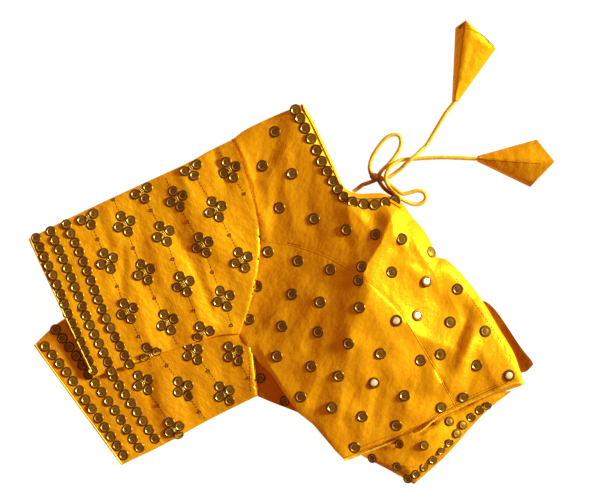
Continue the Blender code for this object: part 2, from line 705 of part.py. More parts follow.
def dori_knot():
    form = bmesh.new()
    bmesh.ops.create_uvsphere(form, u_segments=12, v_segments=8, radius=1.0)
    bmesh.ops.scale(form, vec=[size * MM for size in KNOT_HALF_SIZES], verts=form.verts)
    found = add_object("dori_knot", form, CORD)
    found.location = plan_to_world(*KNOT_PLACE)
    found.rotation_euler = (0.0, 0.0, KNOT_TURN)
    return found


def latkan(name, tip, left, ridge, right):
    """A square of silk folded into a kite: three faces round a hollow that is open at its wide end."""
    axis = Vector((ridge[0] - tip[0], ridge[1] - tip[1])).normalized()
    across = Vector((left[0] - right[0], left[1] - right[1]))
    across = (across - axis * across.dot(axis)).normalized() * LATKAN_TIP_HALF
    tip_left = (tip[0] + across.x, tip[1] + across.y)
    tip_right = (tip[0] - across.x, tip[1] - across.y)
    outer, inner = [], []
    for step in range(LATKAN_STEPS + 1):
        s = step / LATKAN_STEPS
        near_left, near_right = between(tip_left, left, s), between(tip_right, right, s)
        top = between(tip, ridge, s)
        height = LATKAN_TIP_HEIGHT + (LATKAN_RIDGE - LATKAN_TIP_HEIGHT) * eased(s * 1.4)
        width = math.dist(near_left, near_right)
        share = min(LATKAN_EDGE, 0.24 * width) / width
        outer.append([
            (*near_left, 0.0), (*near_left, LATKAN_WALL), (*top, height),
            (*near_right, LATKAN_WALL), (*near_right, 0.0),
        ])
        in_left, in_right = between(near_left, near_right, share), between(near_right, near_left, share)
        floor, roof = LATKAN_WALL, height - LATKAN_WALL * 1.5
        low = floor + (roof - floor) * 0.12
        inner.append([(*in_left, floor), (*in_left, low), (*top, roof), (*in_right, low), (*in_right, floor)])
    return tube(name, outer, inner, SILK)


# ---- The blouse ----

def build_blouse():
    lower_shares = [1 - share for share in reversed(UPPER_SHARES)]
    front_panel("front_centre_panel", UPPER_SHARES, seam_side=1)
    front_panel("front_side_panel", lower_shares, seam_side=-1)
    neck_binding()
    hidden_layers()
    left = LeftSleeve(LEFT_SLEEVE_SECTIONS)
    left.build("left_sleeve", SILK)
    left.piping("left_cuff_piping", SILK)
    right = RightSleeve(RIGHT_SLEEVE_SECTIONS)
    right.build("right_sleeve", SILK)
    right.piping("right_cuff_piping", SILK)
    strip("right_side_panel", RIGHT_SIDE_SECTIONS, UNDER_WALL, 1, 0.4, LINING)
    strip("back_panel", BACK_SECTIONS, UNDER_WALL, 4, 1.0, SILK)
    strip("hook_placket", PLACKET_SECTIONS, PLACKET_WALL, 2, 0.5, LINING)
    for name, route in DORI_ROUTES.items():
        dori(name, route)
    dori_knot()
    for name, corners in LATKANS.items():
        latkan(name, *corners)


for old in list(bpy.data.objects):
    bpy.data.objects.remove(old, do_unlink=True)
build_blouse()
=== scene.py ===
"""Looks of the choli blouse: raw silk with sequin work, folded in half and laid flat.

Plan places are in millimetres ACROSS and DOWN the cutting mat that the part is drawn on.
"""

import math
import random

import bmesh
import bpy
import numpy as np
from mathutils import Matrix, Vector
from mathutils.bvhtree import BVHTree


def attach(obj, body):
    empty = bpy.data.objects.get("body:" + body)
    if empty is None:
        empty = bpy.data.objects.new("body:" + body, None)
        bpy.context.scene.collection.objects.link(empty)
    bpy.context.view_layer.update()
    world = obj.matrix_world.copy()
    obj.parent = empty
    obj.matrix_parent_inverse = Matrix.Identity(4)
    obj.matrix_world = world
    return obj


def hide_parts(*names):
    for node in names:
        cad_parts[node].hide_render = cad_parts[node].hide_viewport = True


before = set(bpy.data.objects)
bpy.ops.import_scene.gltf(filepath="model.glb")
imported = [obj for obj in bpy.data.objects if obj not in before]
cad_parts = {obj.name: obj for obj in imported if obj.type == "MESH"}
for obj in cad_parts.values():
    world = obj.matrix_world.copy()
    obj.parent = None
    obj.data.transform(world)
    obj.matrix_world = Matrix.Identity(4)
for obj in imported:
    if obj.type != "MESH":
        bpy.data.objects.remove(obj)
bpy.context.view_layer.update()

# ---- Camera ----
# Straight above the blouse and far off, with a long lens, so that upright edges are hardly seen.
CAMERA_HEIGHT = 4.3
CAMERA_MIDDLE = (0.0191, 0.0442)
FIELD_WIDTH = 0.600
SENSOR_WIDTH = 36.0

camera_lens = bpy.data.cameras.new("overhead_camera")
camera_lens.sensor_width = SENSOR_WIDTH
camera_lens.lens = SENSOR_WIDTH * CAMERA_HEIGHT / FIELD_WIDTH
camera = bpy.data.objects.new("overhead_camera", camera_lens)
camera.location = (*CAMERA_MIDDLE, CAMERA_HEIGHT)
bpy.context.scene.collection.objects.link(camera)
bpy.context.scene.camera = camera

# ---- Dori: the two fabric cords ----
# Bias strips of the blouse's silk, stitched into narrow tubes and turned, 4 mm thick.
# Each is caught in the neck's binding, tied in the bow, and sewn into its latkan.
MM = 0.001  # metres
BLOUSE_MIDDLE = (280.9, 294.2)
DORI_THICK = 4.0
DORI_LEVEL = 2.3  # height of the cord's middle where it lies on the cloth
DORI_STEP = 1.5  # a point on the cord's line every so many millimetres
FINE_STEPS = 12  # steps between two given points, before the line is evened
KNOT_PLACE = (376.6, 177.6, 3.1)
# Painted shade on the cords about the knot: each place with how far out the shade is full and where it
# ends, and the shade's colour.
KNOT_SHADE_PLACES = (((368, 183, 3.0), 10.0, 19.0), ((387, 195, 3.0), 6.0, 15.0))
KNOT_SHADE_COLOUR = (0.34, 0.085, 0.008, 1.0)
LEFT_DORI = (
    (353.0, 191.8, 2.3), (357.8, 188.6), (362.3, 185.0), (366.2, 183.7), (370.0, 182.3),
    (374.6, 180.4, 2.8), (378.0, 177.9, 3.0), (376.6, 175.6, 3.0), (373.2, 175.6, 2.8),
    (370.8, 173.2, 2.6), (369.6, 167.0, 2.4), (371.0, 160.2), (373.9, 153.8), (379.0, 146.2),
    (385.5, 138.6), (392.5, 134.8), (398.3, 135.2), (400.8, 140.0), (400.3, 146.5), (397.0, 153.5),
    (392.6, 159.6, 2.8), (388.4, 164.4, 2.9), (383.6, 168.9, 2.4), (380.6, 172.3, 2.6),
    (379.4, 175.6, 2.8), (381.2, 178.4, 2.6), (384.9, 178.6), (389.2, 177.0), (394.0, 174.0),
    (400.8, 168.7, 3.6), (405.8, 163.8, 5.8), (411.0, 159.3, 6.8), (416.6, 154.6, 5.8),
    (421.5, 149.6, 3.6), (426.6, 145.0, 2.4), (433.2, 134.0), (439.0, 124.2), (446.2, 112.4),
    (453.0, 103.9), (456.0, 97.0, 2.5), (457.0, 91.0, 2.5),
)
RIGHT_DORI = (
    (399.8, 198.6, 2.3), (394.0, 194.9), (388.5, 191.9), (384.2, 188.2), (381.0, 184.2, 2.5),
    (379.2, 180.8, 2.9), (379.8, 178.0, 3.2), (382.6, 177.8, 3.0), (386.2, 181.4, 2.6),
    (390.4, 185.4, 2.4), (396.4, 190.3), (402.5, 193.8), (409.2, 192.8), (417.0, 190.6),
    (423.4, 192.2), (425.8, 197.6), (422.8, 202.6), (416.2, 204.3, 2.6), (408.4, 202.6, 4.4),
    (401.0, 198.6, 6.9), (394.6, 193.2, 7.0), (389.0, 187.4, 7.0), (385.6, 180.5, 7.4),
    (386.0, 174.0, 7.8), (389.2, 168.4, 7.2), (394.5, 163.5, 4.6), (400.5, 160.2, 2.9),
    (408.0, 159.3), (418.0, 158.6), (430.0, 157.8), (445.0, 157.5), (460.0, 158.0), (475.0, 158.7),
    (482.0, 158.9, 2.5), (488.0, 159.2, 2.5),
)


def mat_place(across, down, height=0.0):
    """A place on the cutting mat, in metres about the blouse's middle."""
    return Vector((
        (across - BLOUSE_MIDDLE[0]) * MM, (BLOUSE_MIDDLE[1] - down) * MM, height * MM,
    ))


def evened(points, step):
    """Points on a smooth curve through the given ones, about a step apart."""
    points = [Vector(point) for point in points]
    fine = []
    for i in range(len(points) - 1):
        before, after = points[max(i - 1, 0)], points[min(i + 2, len(points) - 1)]
        out, into = (points[i + 1] - before) / 2, (after - points[i]) / 2
        for number in range(FINE_STEPS):
            t = number / FINE_STEPS
            fine.append(
                points[i] * (2 * t**3 - 3 * t**2 + 1) + out * (t**3 - 2 * t**2 + t)
                + points[i + 1] * (3 * t**2 - 2 * t**3) + into * (t**3 - t**2)
            )
    fine.append(points[-1])
    lengths = [0.0]
    for start, end in zip(fine, fine[1:]):
        lengths.append(lengths[-1] + (end - start).length)
    count = max(round(lengths[-1] / step), 2)
    wanted = np.linspace(0.0, lengths[-1], count + 1)
    return [
        Vector(axes) for axes in
        zip(*[np.interp(wanted, lengths, [point[i] for point in fine]) for i in range(len(fine[0]))])
    ]


class Finish:
    """A node socket of a material. Sums on it add Math nodes, and add() adds any other node."""

    def __init__(self, tree, socket=None):
        self.tree, self.socket = tree, socket

    def add(self, kind, settings=None, values=None, output=0):
        node = self.tree.nodes.new("ShaderNode" + kind)
        for name, value in (settings or {}).items():
            setattr(node, name, value)
        for name, value in (values or {}).items():
            if isinstance(value, Finish):
                self.tree.links.new(value.socket, node.inputs[name])
            else:
                node.inputs[name].default_value = value
        return Finish(self.tree, node.outputs[output])

    def feed(self, shader, name):
        self.tree.links.new(self.socket, shader.inputs[name])

    def maths(self, operation, first, second):
        return self.add("Math", {"operation": operation}, {0: first, 1: second})

    def __add__(self, other):
        return self.maths("ADD", self, other)

    def __sub__(self, other):
        return self.maths("SUBTRACT", self, other)

    def __rsub__(self, other):
        return self.maths("SUBTRACT", other, self)

    def __mul__(self, other):
        return self.maths("MULTIPLY", self, other)

    __radd__, __rmul__ = __add__, __mul__

    def blend(self, first, second):
        """A colour between two others, by this number."""
        return self.add("Mix", {"data_type": "RGBA"}, {0: self, 6: first, 7: second}, output=2)

    def noise(self, turn, pitch, detail=2.0):
        """Noise on the piece's own place, with this pitch in metres along each axis."""
        place = self.add("TexCoord", output=3)
        spread = self.add("Mapping", {"vector_type": "TEXTURE"}, {
            "Vector": place, "Rotation": (0.0, 0.0, turn), "Scale": pitch,
        })
        return self.add("TexNoise", values={"Vector": spread, "Scale": 1.0, "Detail": detail})


SLUB_PITCH = (0.0012, 0.014, 0.0012)  # metres across and along the weft, and through the cloth
WEFT_PITCH = (0.00045, 0.003, 0.00045)
WARP_PITCH = (0.003, 0.0006, 0.0005)
DYE_PITCH = (0.022, 0.03, 0.022)
CRUSH_PITCH = (0.006, 0.009, 0.006)
CRUSH_TURN = 0.6  # the fine crumple runs askew to the weft
WEAVE_RELIEF, CRUSH_RELIEF = 0.0005, 0.004
GOLDEN_TINT = (1.0, 0.72, 0.30, 1.0)


def golden_finish(name, metallic):
    """A material with a golden sheen, its shader, and the start of its shader maths."""
    material = bpy.data.materials.new(name)
    material.use_nodes = True
    shader = material.node_tree.nodes["Principled BSDF"]
    shader.inputs["Metallic"].default_value = metallic
    shader.inputs["Specular IOR Level"].default_value = 0.3
    shader.inputs["Specular Tint"].default_value = GOLDEN_TINT
    return material, shader, Finish(material.node_tree)


def silk(
    name, colour, deep, turn=0.0, roughness=0.5, lustre=0.3, slub=1.0, crush_depth=0.22, knot_shade=(),
):
    """Raw silk: slubs along the weft, a fine plain weave, uneven dye and a soft golden lustre.

    The last argument gives places where the silk is painted dark as shade about the knot: a place, and
    how far out it is full and ends."""
    material, shader, start = golden_finish(name, lustre)
    slubs = start.noise(turn, SLUB_PITCH)
    weft = start.noise(turn, WEFT_PITCH)
    warp = start.noise(turn, WARP_PITCH)
    dye = start.noise(turn, DYE_PITCH, 3.0)
    crumple_and_shade = start.noise(turn + CRUSH_TURN, CRUSH_PITCH, 3.0)
    streak = slubs.maths("POWER", slubs * 1.3, 3.0)
    # The crumple also sets the tone: its hollows are painted darker and its raised spots lighter, as
    # painted shade.
    tone = dye * 0.9 + streak * 0.34 * slub + weft * 0.16 + crumple_and_shade * 0.3 - 0.32
    mixed = tone.maths("MINIMUM", tone.maths("MAXIMUM", tone, 0.0), 1.0)
    relief = weft * 0.3 + warp * 0.25 + streak * 0.6 * slub
    weave = start.add("Bump", values={
        "Strength": 0.3, "Distance": WEAVE_RELIEF, "Height": relief,
    })
    bump = start.add("Bump", values={
        "Strength": crush_depth, "Distance": CRUSH_RELIEF, "Height": crumple_and_shade, "Normal": weave,
    })
    dye_and_shade = mixed.blend((*deep, 1.0), (*colour, 1.0))
    # Painted shade: the colour darkens towards each of these places.
    for place, inner, outer in knot_shade:
        gap = start.add("VectorMath", {"operation": "DISTANCE"}, {
            0: start.add("TexCoord", output=3), 1: mat_place(*place),
        }, output=1)
        near = start.add("MapRange", values={
            "Value": gap, "From Min": inner * MM, "From Max": outer * MM, "To Min": 1.0, "To Max": 0.0,
        })
        dye_and_shade = near.blend(dye_and_shade, KNOT_SHADE_COLOUR)
    dye_and_shade.feed(shader, "Base Color")
    (roughness + weft * 0.16 - 0.08).feed(shader, "Roughness")
    bump.feed(shader, "Normal")
    return material


# The cords' silk, with painted shade about the knot.
dori_silk = silk(
    "dori_silk", (0.96, 0.66, 0.09), (0.84, 0.44, 0.03), turn=0.8, roughness=0.42, lustre=0.15,
    slub=0.5, knot_shade=KNOT_SHADE_PLACES,
)


def link(name, shape, *materials):
    """A piece from a finished mesh or curve."""
    for material in materials:
        shape.materials.append(material)
    piece = bpy.data.objects.new(name, shape)
    bpy.context.scene.collection.objects.link(piece)
    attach(piece, "root")
    return piece


def round_line(name, threads, thick, finish, roundness=1):
    """Threads of one thickness as one curve. Each thread is a row of points, with closed ends."""
    curve = bpy.data.curves.new(name, "CURVE")
    curve.dimensions = "3D"
    curve.bevel_depth = thick / 2 * MM
    curve.bevel_resolution = roundness
    curve.use_fill_caps = True
    for points in threads:
        spline = curve.splines.new("POLY")
        spline.points.add(len(points) - 1)
        for place, point in zip(spline.points, points):
            place.co = (*point, 1.0)
        spline.use_smooth = True
    piece = link(name, curve, finish)
    return piece


def dori(name, route):
    """One cord, from its exit at the neck to its latkan."""
    route = [(*point, DORI_LEVEL)[:3] for point in route]
    points = [mat_place(*point) for point in evened(route, DORI_STEP)]
    return round_line(name, [points], DORI_THICK, dori_silk, roundness=3)


left_dori = dori("left_dori", LEFT_DORI)
right_dori = dori("right_dori", RIGHT_DORI)
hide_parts("dori_left_lead", "dori_left_loop", "dori_left_end")
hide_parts("dori_right_lead", "dori_right_strand")

# ---- Knot of the bow ----
# Both cords cross here and are drawn tight, so that their turns press into one flat knot. It is the
# cords' own silk, painted darker about the knot as shade.
KNOT_HALF_SIZES = (7.4, 4.2, 2.9)
KNOT_TURN = math.radians(-20.0)
KNOT_TURNS = 3.0  # turns of cord that show over the knot
KNOT_GROOVE = 0.16  # depth of the grooves between them, as a share of its thickness


def mesh_from(name, form, smooth=True):
    """A finished bmesh as a new mesh."""
    mesh = bpy.data.meshes.new(name)
    form.to_mesh(mesh)
    form.free()
    if smooth:
        mesh.shade_smooth()
    return mesh


form = bmesh.new()
bmesh.ops.create_uvsphere(form, u_segments=48, v_segments=32, radius=1.0)
for vertex in form.verts:
    around = math.atan2(vertex.co.z, vertex.co.y)
    wrap = math.cos(vertex.co.x * math.pi * KNOT_TURNS + around)
    squeeze = 1.0 - KNOT_GROOVE * (1.0 - abs(wrap)) * (1.0 - vertex.co.x**2)
    vertex.co.y *= squeeze
    vertex.co.z *= squeeze
bmesh.ops.scale(form, vec=[size * MM for size in KNOT_HALF_SIZES], verts=form.verts)
bmesh.ops.rotate(form, cent=(0, 0, 0), matrix=Matrix.Rotation(KNOT_TURN, 3, "Z"), verts=form.verts)
bmesh.ops.translate(form, vec=mat_place(*KNOT_PLACE), verts=form.verts)
bow_knot = link("bow_knot", mesh_from("bow_knot", form), dori_silk)
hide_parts("dori_knot")

# ---- Cloth ----
# Every panel is a thin wall of silk over cotton. It keeps its solid's form, and is pressed into the
# folds and creases that the folded blouse has.
MERGE_GAP = 2e-5  # metres between points that are one
FLAT_TURN = math.radians(50)  # faces that turn less than this are joined across their edge
SHAPE_TURN = math.radians(80)
SHARP_EDGE = math.radians(42)
WALL_GAP = 2.2  # where a tube is thinner than this, neither wall is lifted
LIFT_SPREAD, LIFT_START = 1.6, 0.3  # how the lift grows from the under wall to the upper
SEAM_REACH = 1.6  # how far from a seam its stitches pull the cloth
SEAM_PULL = 0.36
SEAM_DIP = 0.3
TINY = 1e-9  # keeps a distance from being nothing
UPWARD, DOWNWARD = Vector((0, 0, 1)), Vector((0, 0, -1))
ARMHOLE = (
    (232, 139), (242.5, 165.3), (250.8, 190.5), (256.8, 215.8), (260.5, 241), (258.5, 264.4),
    (254.3, 287.8), (247.8, 311.1), (239, 335),
)
PRINCESS_SEAM = (
    (260.5, 241), (271, 242.3), (284, 243.8), (296, 246.5), (307, 249.8), (315.5, 252.6),
    (324.5, 256.2), (333.5, 260.2), (342, 265), (350, 269.8), (358, 274.7), (365, 279),
    (371, 283.6), (378, 290), (387, 298.6), (398.5, 310.3), (408, 324.5), (418, 340.5),
    (427.5, 356), (436.5, 372), (445.5, 388.5), (456, 407.5),
)
yellow_silk = silk("yellow_silk", (0.93, 0.43, 0.005), (0.80, 0.30, 0.003), turn=math.radians(-67))
sleeve_silk = silk(
    "sleeve_silk", (0.96, 0.49, 0.006), (0.82, 0.29, 0.003), turn=math.radians(25), crush_depth=0.24,
)
# A copy of the sleeves' silk painted darker, as painted shade for the sleeve that lies below.
shaded_sleeve_silk = silk(
    "shaded_sleeve_silk", (0.88, 0.41, 0.005), (0.74, 0.25, 0.003), turn=math.radians(35),
    crush_depth=0.24,
)
# A copy of the silk painted darker as shade, for the pieces that lie beneath the front.
shaded_under_silk = silk("shaded_under_silk", (0.80, 0.28, 0.003), (0.62, 0.18, 0.002), turn=math.radians(-40))
# A deeper copy of the silk: on the hook strip partly its lining's own colour and partly painted shade;
# in the latkan's opening, painted shade.
dark_silk = silk("dark_silk", (0.62, 0.20, 0.002), (0.40, 0.09, 0.001), turn=math.radians(-40))


def cloth_mesh(node, levels):
    """A node's own surface, closed, smoothed and refined, as a new mesh."""
    form = bmesh.new()
    form.from_mesh(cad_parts[node].data)
    bmesh.ops.remove_doubles(form, verts=form.verts, dist=MERGE_GAP)
    bmesh.ops.join_triangles(
        form, faces=form.faces, angle_face_threshold=FLAT_TURN, angle_shape_threshold=SHAPE_TURN,
    )
    crease = form.edges.layers.float.new("crease_edge")
    for edge in form.edges:
        if len(edge.link_faces) == 2 and edge.calc_face_angle() > SHARP_EDGE:
            edge[crease] = 1.0
    mesh = mesh_from(node + "_cloth", form)
    holder = bpy.data.objects.new(node + "_cloth", mesh)
    bpy.context.scene.collection.objects.link(holder)
    smoothing = holder.modifiers.new("smoothing", "SUBSURF")
    smoothing.levels = smoothing.render_levels = levels
    depsgraph = bpy.context.evaluated_depsgraph_get()
    fine = bpy.data.meshes.new_from_object(holder.evaluated_get(depsgraph))
    bpy.data.objects.remove(holder)
    fine.materials.clear()
    return fine


def surface_of(points, mesh):
    """The mesh's faces over these points, to be looked for along straight lines."""
    return BVHTree.FromPolygons(points.tolist(), [tuple(face.vertices) for face in mesh.polygons])


def on_mat(points):
    """Plan places, in millimetres on the mat, of points in metres."""
    return np.stack((
        points[:, 0] / MM + BLOUSE_MIDDLE[0], BLOUSE_MIDDLE[1] - points[:, 1] / MM,
    ), axis=1)


def stretches(line, places):
    """For each stretch of a line: its run, and for each place the way from the stretch's start, the
    way to the stretch's nearest point, and the distance to it."""
    for start, end in zip(line, line[1:]):
        along = np.subtract(end, start)
        away = places - np.array(start)
        t = np.clip(away @ along / (along @ along), 0.0, 1.0)
        off = t[:, None] * along - away
        yield along, away, off, np.linalg.norm(off, axis=1)


def crease_heights(places, creases):
    """Height in millimetres that the creases give each plan place.

    A crease is its half width on the right and on the left of its line, its height, how sharp its
    crest is, where 2 is a soft roll and 1 a pressed fold, and its line, drawn towards the hem."""
    total = np.zeros(len(places))
    for right, left, height, sharp, *line in creases:
        nearest = np.full(len(places), np.inf)
        width = np.full(len(places), float(right))
        for along, away, _, distance in stretches(line, places):
            side = (along[1] * away[:, 0] - along[0] * away[:, 1]) / np.linalg.norm(along)
            side = side / np.maximum(distance, TINY)
            closer = distance < nearest
            nearest = np.where(closer, distance, nearest)
            width = np.where(closer, (right + left) / 2 + (right - left) / 2 * side, width)
        total += height * np.exp(-((nearest / width) ** sharp))
    return total


def lifted_share(points, mesh):
    """0 on a flat tube's under wall, 1 on its upper wall, and between them along its folds."""
    surface = surface_of(points, mesh)
    share = np.zeros(len(points))
    for i, (x, y, z) in enumerate(points):
        over = surface.ray_cast(Vector((x, y, 1.0)), DOWNWARD)[0]
        under = surface.ray_cast(Vector((x, y, -1.0)), UPWARD)[0]
        if over and under and over.z - under.z > WALL_GAP * MM:
            t = (z - under.z) / (over.z - under.z) * LIFT_SPREAD - LIFT_START
            t = min(max(t, 0.0), 1.0)
            share[i] = t * t * (3 - 2 * t)
    return share


def sewn(points, seam):
    """Draws the wall's edge up to a seam's line, and a little down, as the stitches do."""
    line = [mat_place(*place)[:2] for place in seam]
    nearest, pull = np.full(len(points), np.inf), np.zeros((len(points), 2))
    for _, _, off, distance in stretches(line, points[:, :2]):
        closer = distance < nearest
        nearest = np.where(closer, distance, nearest)
        pull = np.where(closer[:, None], off / np.maximum(distance, TINY)[:, None], pull)
    share = np.exp(-((nearest / (SEAM_REACH * MM)) ** 2))
    points[:, :2] += pull * (share * SEAM_PULL * MM)[:, None]
    points[:, 2] -= share * SEAM_DIP * MM


def cloth_piece(
    name, node, silk_finish, creases=(), levels=3, hollow=False, seams=(),
    rests_on=("hidden_layers_silk",),
):
    """A panel or sleeve with its creases pressed in. Gives its surface, for the trims."""
    mesh = cloth_mesh(node, levels)
    points = np.empty((len(mesh.vertices), 3))
    mesh.vertices.foreach_get("co", points.ravel())
    for seam in seams:
        sewn(points, seam)
    heights = crease_heights(on_mat(points), creases)
    if hollow:
        heights *= lifted_share(points, mesh)
    points[:, 2] += heights * MM
    mesh.vertices.foreach_set("co", points.ravel())
    mesh.update()
    mesh.shade_smooth()
    mesh.set_sharp_from_angle(angle=SHARP_EDGE)
    piece = link(name, mesh, silk_finish)
    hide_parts(node)
    return surface_of(points, mesh)


# ---- Front panels ----
# The centre panel carries the neck, and the side panel the underarm. They are joined by the princess
# seam, which shapes the bust.
ARMHOLE_CREASES = (
    (9, 9, -1.3, 1.6, (236, 132), (246, 152), (252, 170)),
    (12, 6, 1.7, 1.6, (236, 138), (244, 158), (250, 178)),
)
FRONT_CREASES = (
    (60, 58, 3.5, 2.0, (384, 232), (376, 262), (368, 292)),  # fullness of the bust
    (30, 30, 2.0, 2.0, (320, 345), (304, 380)),
    (13, 24, 5.0, 1.9, (242.6, 348), (266.6, 380), (292.6, 410), (316.6, 440), (338.6, 466)),
    (16, 64, 4.2, 1.9, (352, 140), (360, 200), (356, 262), (340, 322)),
    *ARMHOLE_CREASES,
    (7, 12, 2.2, 1.6, (268, 186), (268, 204), (265, 224)),
    (14, 26, 0.8, 1.8, (318, 352), (330, 380), (345, 410)),
    (8, 14, 1.1, 1.6, (282, 318), (285, 335), (281, 351)),
    (6, 17, 1.6, 1.6, (371, 386), (367, 410), (362, 434)),
    (22, 10, 2.1, 1.7, (326, 322), (322, 345), (318, 372)),
    (16, 8, 1.3, 1.7, (318, 412), (326, 430), (334, 446)),
    (30, 10, 1.5, 1.7, (346, 306), (350, 334), (358, 366)),
    (8, 22, 1.6, 1.7, (412, 238), (418, 256), (424, 270)),
    (16, 14, 2.6, 1.9, (407, 200), (424, 220), (441, 240), (455, 262)),
    (26, 10, 2.2, 1.7, (418, 272), (424, 290), (428, 308)),
    (10, 18, 1.7, 1.7, (312, 296), (308, 320), (300, 342)),
    (18, 5, 2.2, 1.6, (262, 350), (271, 366), (280, 381)),
    (14, 10, 1.1, 1.6, (350, 335), (350, 352), (348, 370)),
    (14, 10, 1.2, 1.6, (372, 304), (380, 322), (392, 344)),
    (14, 8, 0.9, 1.6, (412, 380), (412, 392), (410, 404)),
    (7, 12, 1.5, 1.6, (386, 396), (382, 418), (378, 440)),
    (7, 14, 1.4, 1.6, (406, 398), (404, 420), (400, 434)),
    (3, 14, 2.8, 1.6, (480, 304), (496, 328), (506, 345), (515, 368), (520, 383)),
    (6, 10, 1.1, 1.5, (267, 128), (265, 144), (262, 160)),
    (6, 10, 1.8, 1.5, (288, 160), (286, 176), (284, 190)),
    (6, 14, 1.7, 1.6, (338, 176), (346, 205), (352, 228)),
    (8, 12, 1.1, 1.6, (357, 236), (353, 262)),
    (6, 30, 5.0, 1.8, (385, 206), (390, 216), (392, 226)),
    (8, 12, 1.4, 1.6, (398, 238), (403, 250), (407, 262)),
    (8, 14, 1.6, 1.6, (464, 348), (457, 368), (450, 382)),
    (14, 6, 1.9, 1.6, (484, 356), (490, 372), (498, 386)),
    (6, 10, 1.5, 1.6, (432, 358), (434, 372), (432, 384)),
    (6, 12, 1.5, 1.6, (449, 388), (445, 400), (437, 412)),
    (8, 12, 0.8, 1.6, (322, 262), (320, 280), (316, 296)),
    (8, 30, 3.8, 1.8, (298, 112), (320, 158), (338, 190), (352, 201)),
    (32, 32, -2.8, 1.7, (252, 192), (256.8, 216), (260.5, 241), (258.5, 264), (254.3, 288),
     (247.8, 311), (239, 335)),
    (50, 14, 3.4, 1.8, (370, 290), (362, 320), (350, 350)),
    (26, 20, -2.6, 1.8, (436, 300), (430, 335), (416, 366), (408, 388)),
    (12, 46, 3.9, 1.8, (430, 392), (424, 416), (412, 436)),
    (8, 8, 1.3, 1.6, (362, 345), (357, 375), (350, 410)),
    (9, 3, 0.9, 1.5, (234, 138), (246, 160), (254, 185), (258, 212)),
    (10, 9, -2.0, 1.6, (268, 122), (263, 145), (259, 165), (256, 182)),
    (10, 8, -1.2, 1.7, (280, 118), (277, 138), (270, 160)),
    (6, 6, 1.0, 1.5, (287, 146), (279, 160), (272, 172)),
    (8, 12, 1.0, 1.6, (303, 152), (294, 176), (289, 200), (295, 228)),
    (8, 8, -0.9, 1.6, (314, 160), (309, 188), (307, 208), (316, 236)),
    (16, 10, -1.0, 1.8, (322, 178), (330, 205), (340, 232)),
    (5, 5, 0.7, 1.4, (286, 200), (272, 206), (260, 214)),
    (5, 8, 1.1, 1.4, (351, 209), (360, 218), (371, 231)),  # lit fold below the neck
    (7, 5, -0.8, 1.6, (360, 208), (370, 216), (382, 225)),
    (5, 9, 2.6, 1.2, (395, 211), (388, 222), (380, 244), (368, 262), (363, 274)),
    (9, 12, -1.6, 1.7, (376, 226), (366, 244), (352, 256)),
    (12, 12, 1.8, 1.5, (363, 275), (370, 288), (363, 306), (352, 325), (346, 340)),
    (9, 9, -1.6, 1.7, (392, 246), (404, 252), (418, 262)),
    (10, 12, -0.6, 1.8, (404, 226), (412, 246), (424, 268)),
    (20, 22, 3.2, 1.8, (416, 212), (426, 240), (436, 268)),
    (14, 14, -1.7, 1.7, (252, 186), (257, 214), (260, 236)),
    (34, 20, 2.2, 1.8, (372, 300), (378, 330), (388, 360)),
    (8, 10, 1.2, 1.7, (424, 246), (444, 262), (462, 282)),
    (4, 6, 0.8, 1.5, (403, 242), (407, 252), (413, 260)),
    (4, 6, 0.8, 1.5, (415, 246), (421, 256), (428, 262)),
    (5, 4, -0.8, 1.5, (409, 262), (420, 266), (430, 272)),
    (4, 8, 0.9, 1.6, (430, 268), (435, 278), (438, 290)),
    (4, 9, 0.9, 1.6, (449, 296), (455, 308), (459, 318)),
    (14, 14, -1.2, 1.8, (430, 290), (440, 306)),
    (5, 9, -2.2, 1.2, (466, 321), (462, 332), (456, 345)),
    (12, 8, 2.6, 1.4, (473, 329), (470, 343), (461, 360)),
    (8, 26, 4.4, 1.7, (468, 346), (464, 362), (458, 380)),
    (7, 11, 2.3, 1.3, (404, 322), (417, 334), (431, 341), (450, 347)),
    (10, 12, -1.4, 1.8, (496, 318), (504, 340), (512, 366)),
    (10, 10, 1.1, 1.7, (428, 372), (424, 392), (418, 412)),
    (8, 8, 0.9, 1.7, (478, 350), (480, 372), (476, 390)),
    (6, 8, -0.9, 1.4, (293, 254), (276, 264), (262, 276)),
    (6, 8, -0.8, 1.4, (320, 280), (304, 284), (290, 291)),
    (5, 8, -1.2, 1.3, (291, 299), (276, 309), (263, 321)),
    (6, 8, 1.0, 1.5, (292, 318), (270, 327), (248, 341)),
    (9, 12, 1.3, 1.7, (322, 300), (306, 314), (296, 330)),
    (6, 8, 1.3, 1.5, (300, 350), (280, 360), (263, 369)),
    (5, 8, 0.9, 1.4, (318, 374), (312, 386), (305, 404)),
    (5, 5, -0.6, 1.4, (326, 379), (319, 396), (313, 414)),
    (8, 12, 1.6, 1.4, (347, 346), (345, 376), (337, 414)),
    (6, 5, -1.1, 1.4, (355, 388), (349, 404), (342, 420)),
    (6, 6, 0.4, 1.6, (334, 352), (326, 366), (322, 380)),
    (8, 8, 1.2, 1.7, (366, 350), (366, 372), (362, 392)),
    (9, 10, -1.3, 1.7, (380, 372), (378, 392), (372, 414)),
    (12, 12, 1.2, 1.7, (396, 376), (404, 396), (416, 420)),
    (9, 9, -1.2, 1.7, (388, 400), (386, 420), (380, 436)),
    (9, 9, -1.0, 1.8, (346, 420), (350, 436), (352, 450)),
    (8, 8, 1.0, 1.6, (396, 346), (408, 362), (413, 380)),
)
body_surfaces = [
    cloth_piece(
        panel + "_silk", panel + "_panel", yellow_silk, FRONT_CREASES,
        seams=(ARMHOLE, PRINCESS_SEAM),
    )
    for panel, flat, area in (
        ("front_centre", (0.132, 0.385), 0.0325), ("front_side", (0.147, 0.258), 0.0292),
    )
]
front_centre_surface, front_side_surface = body_surfaces

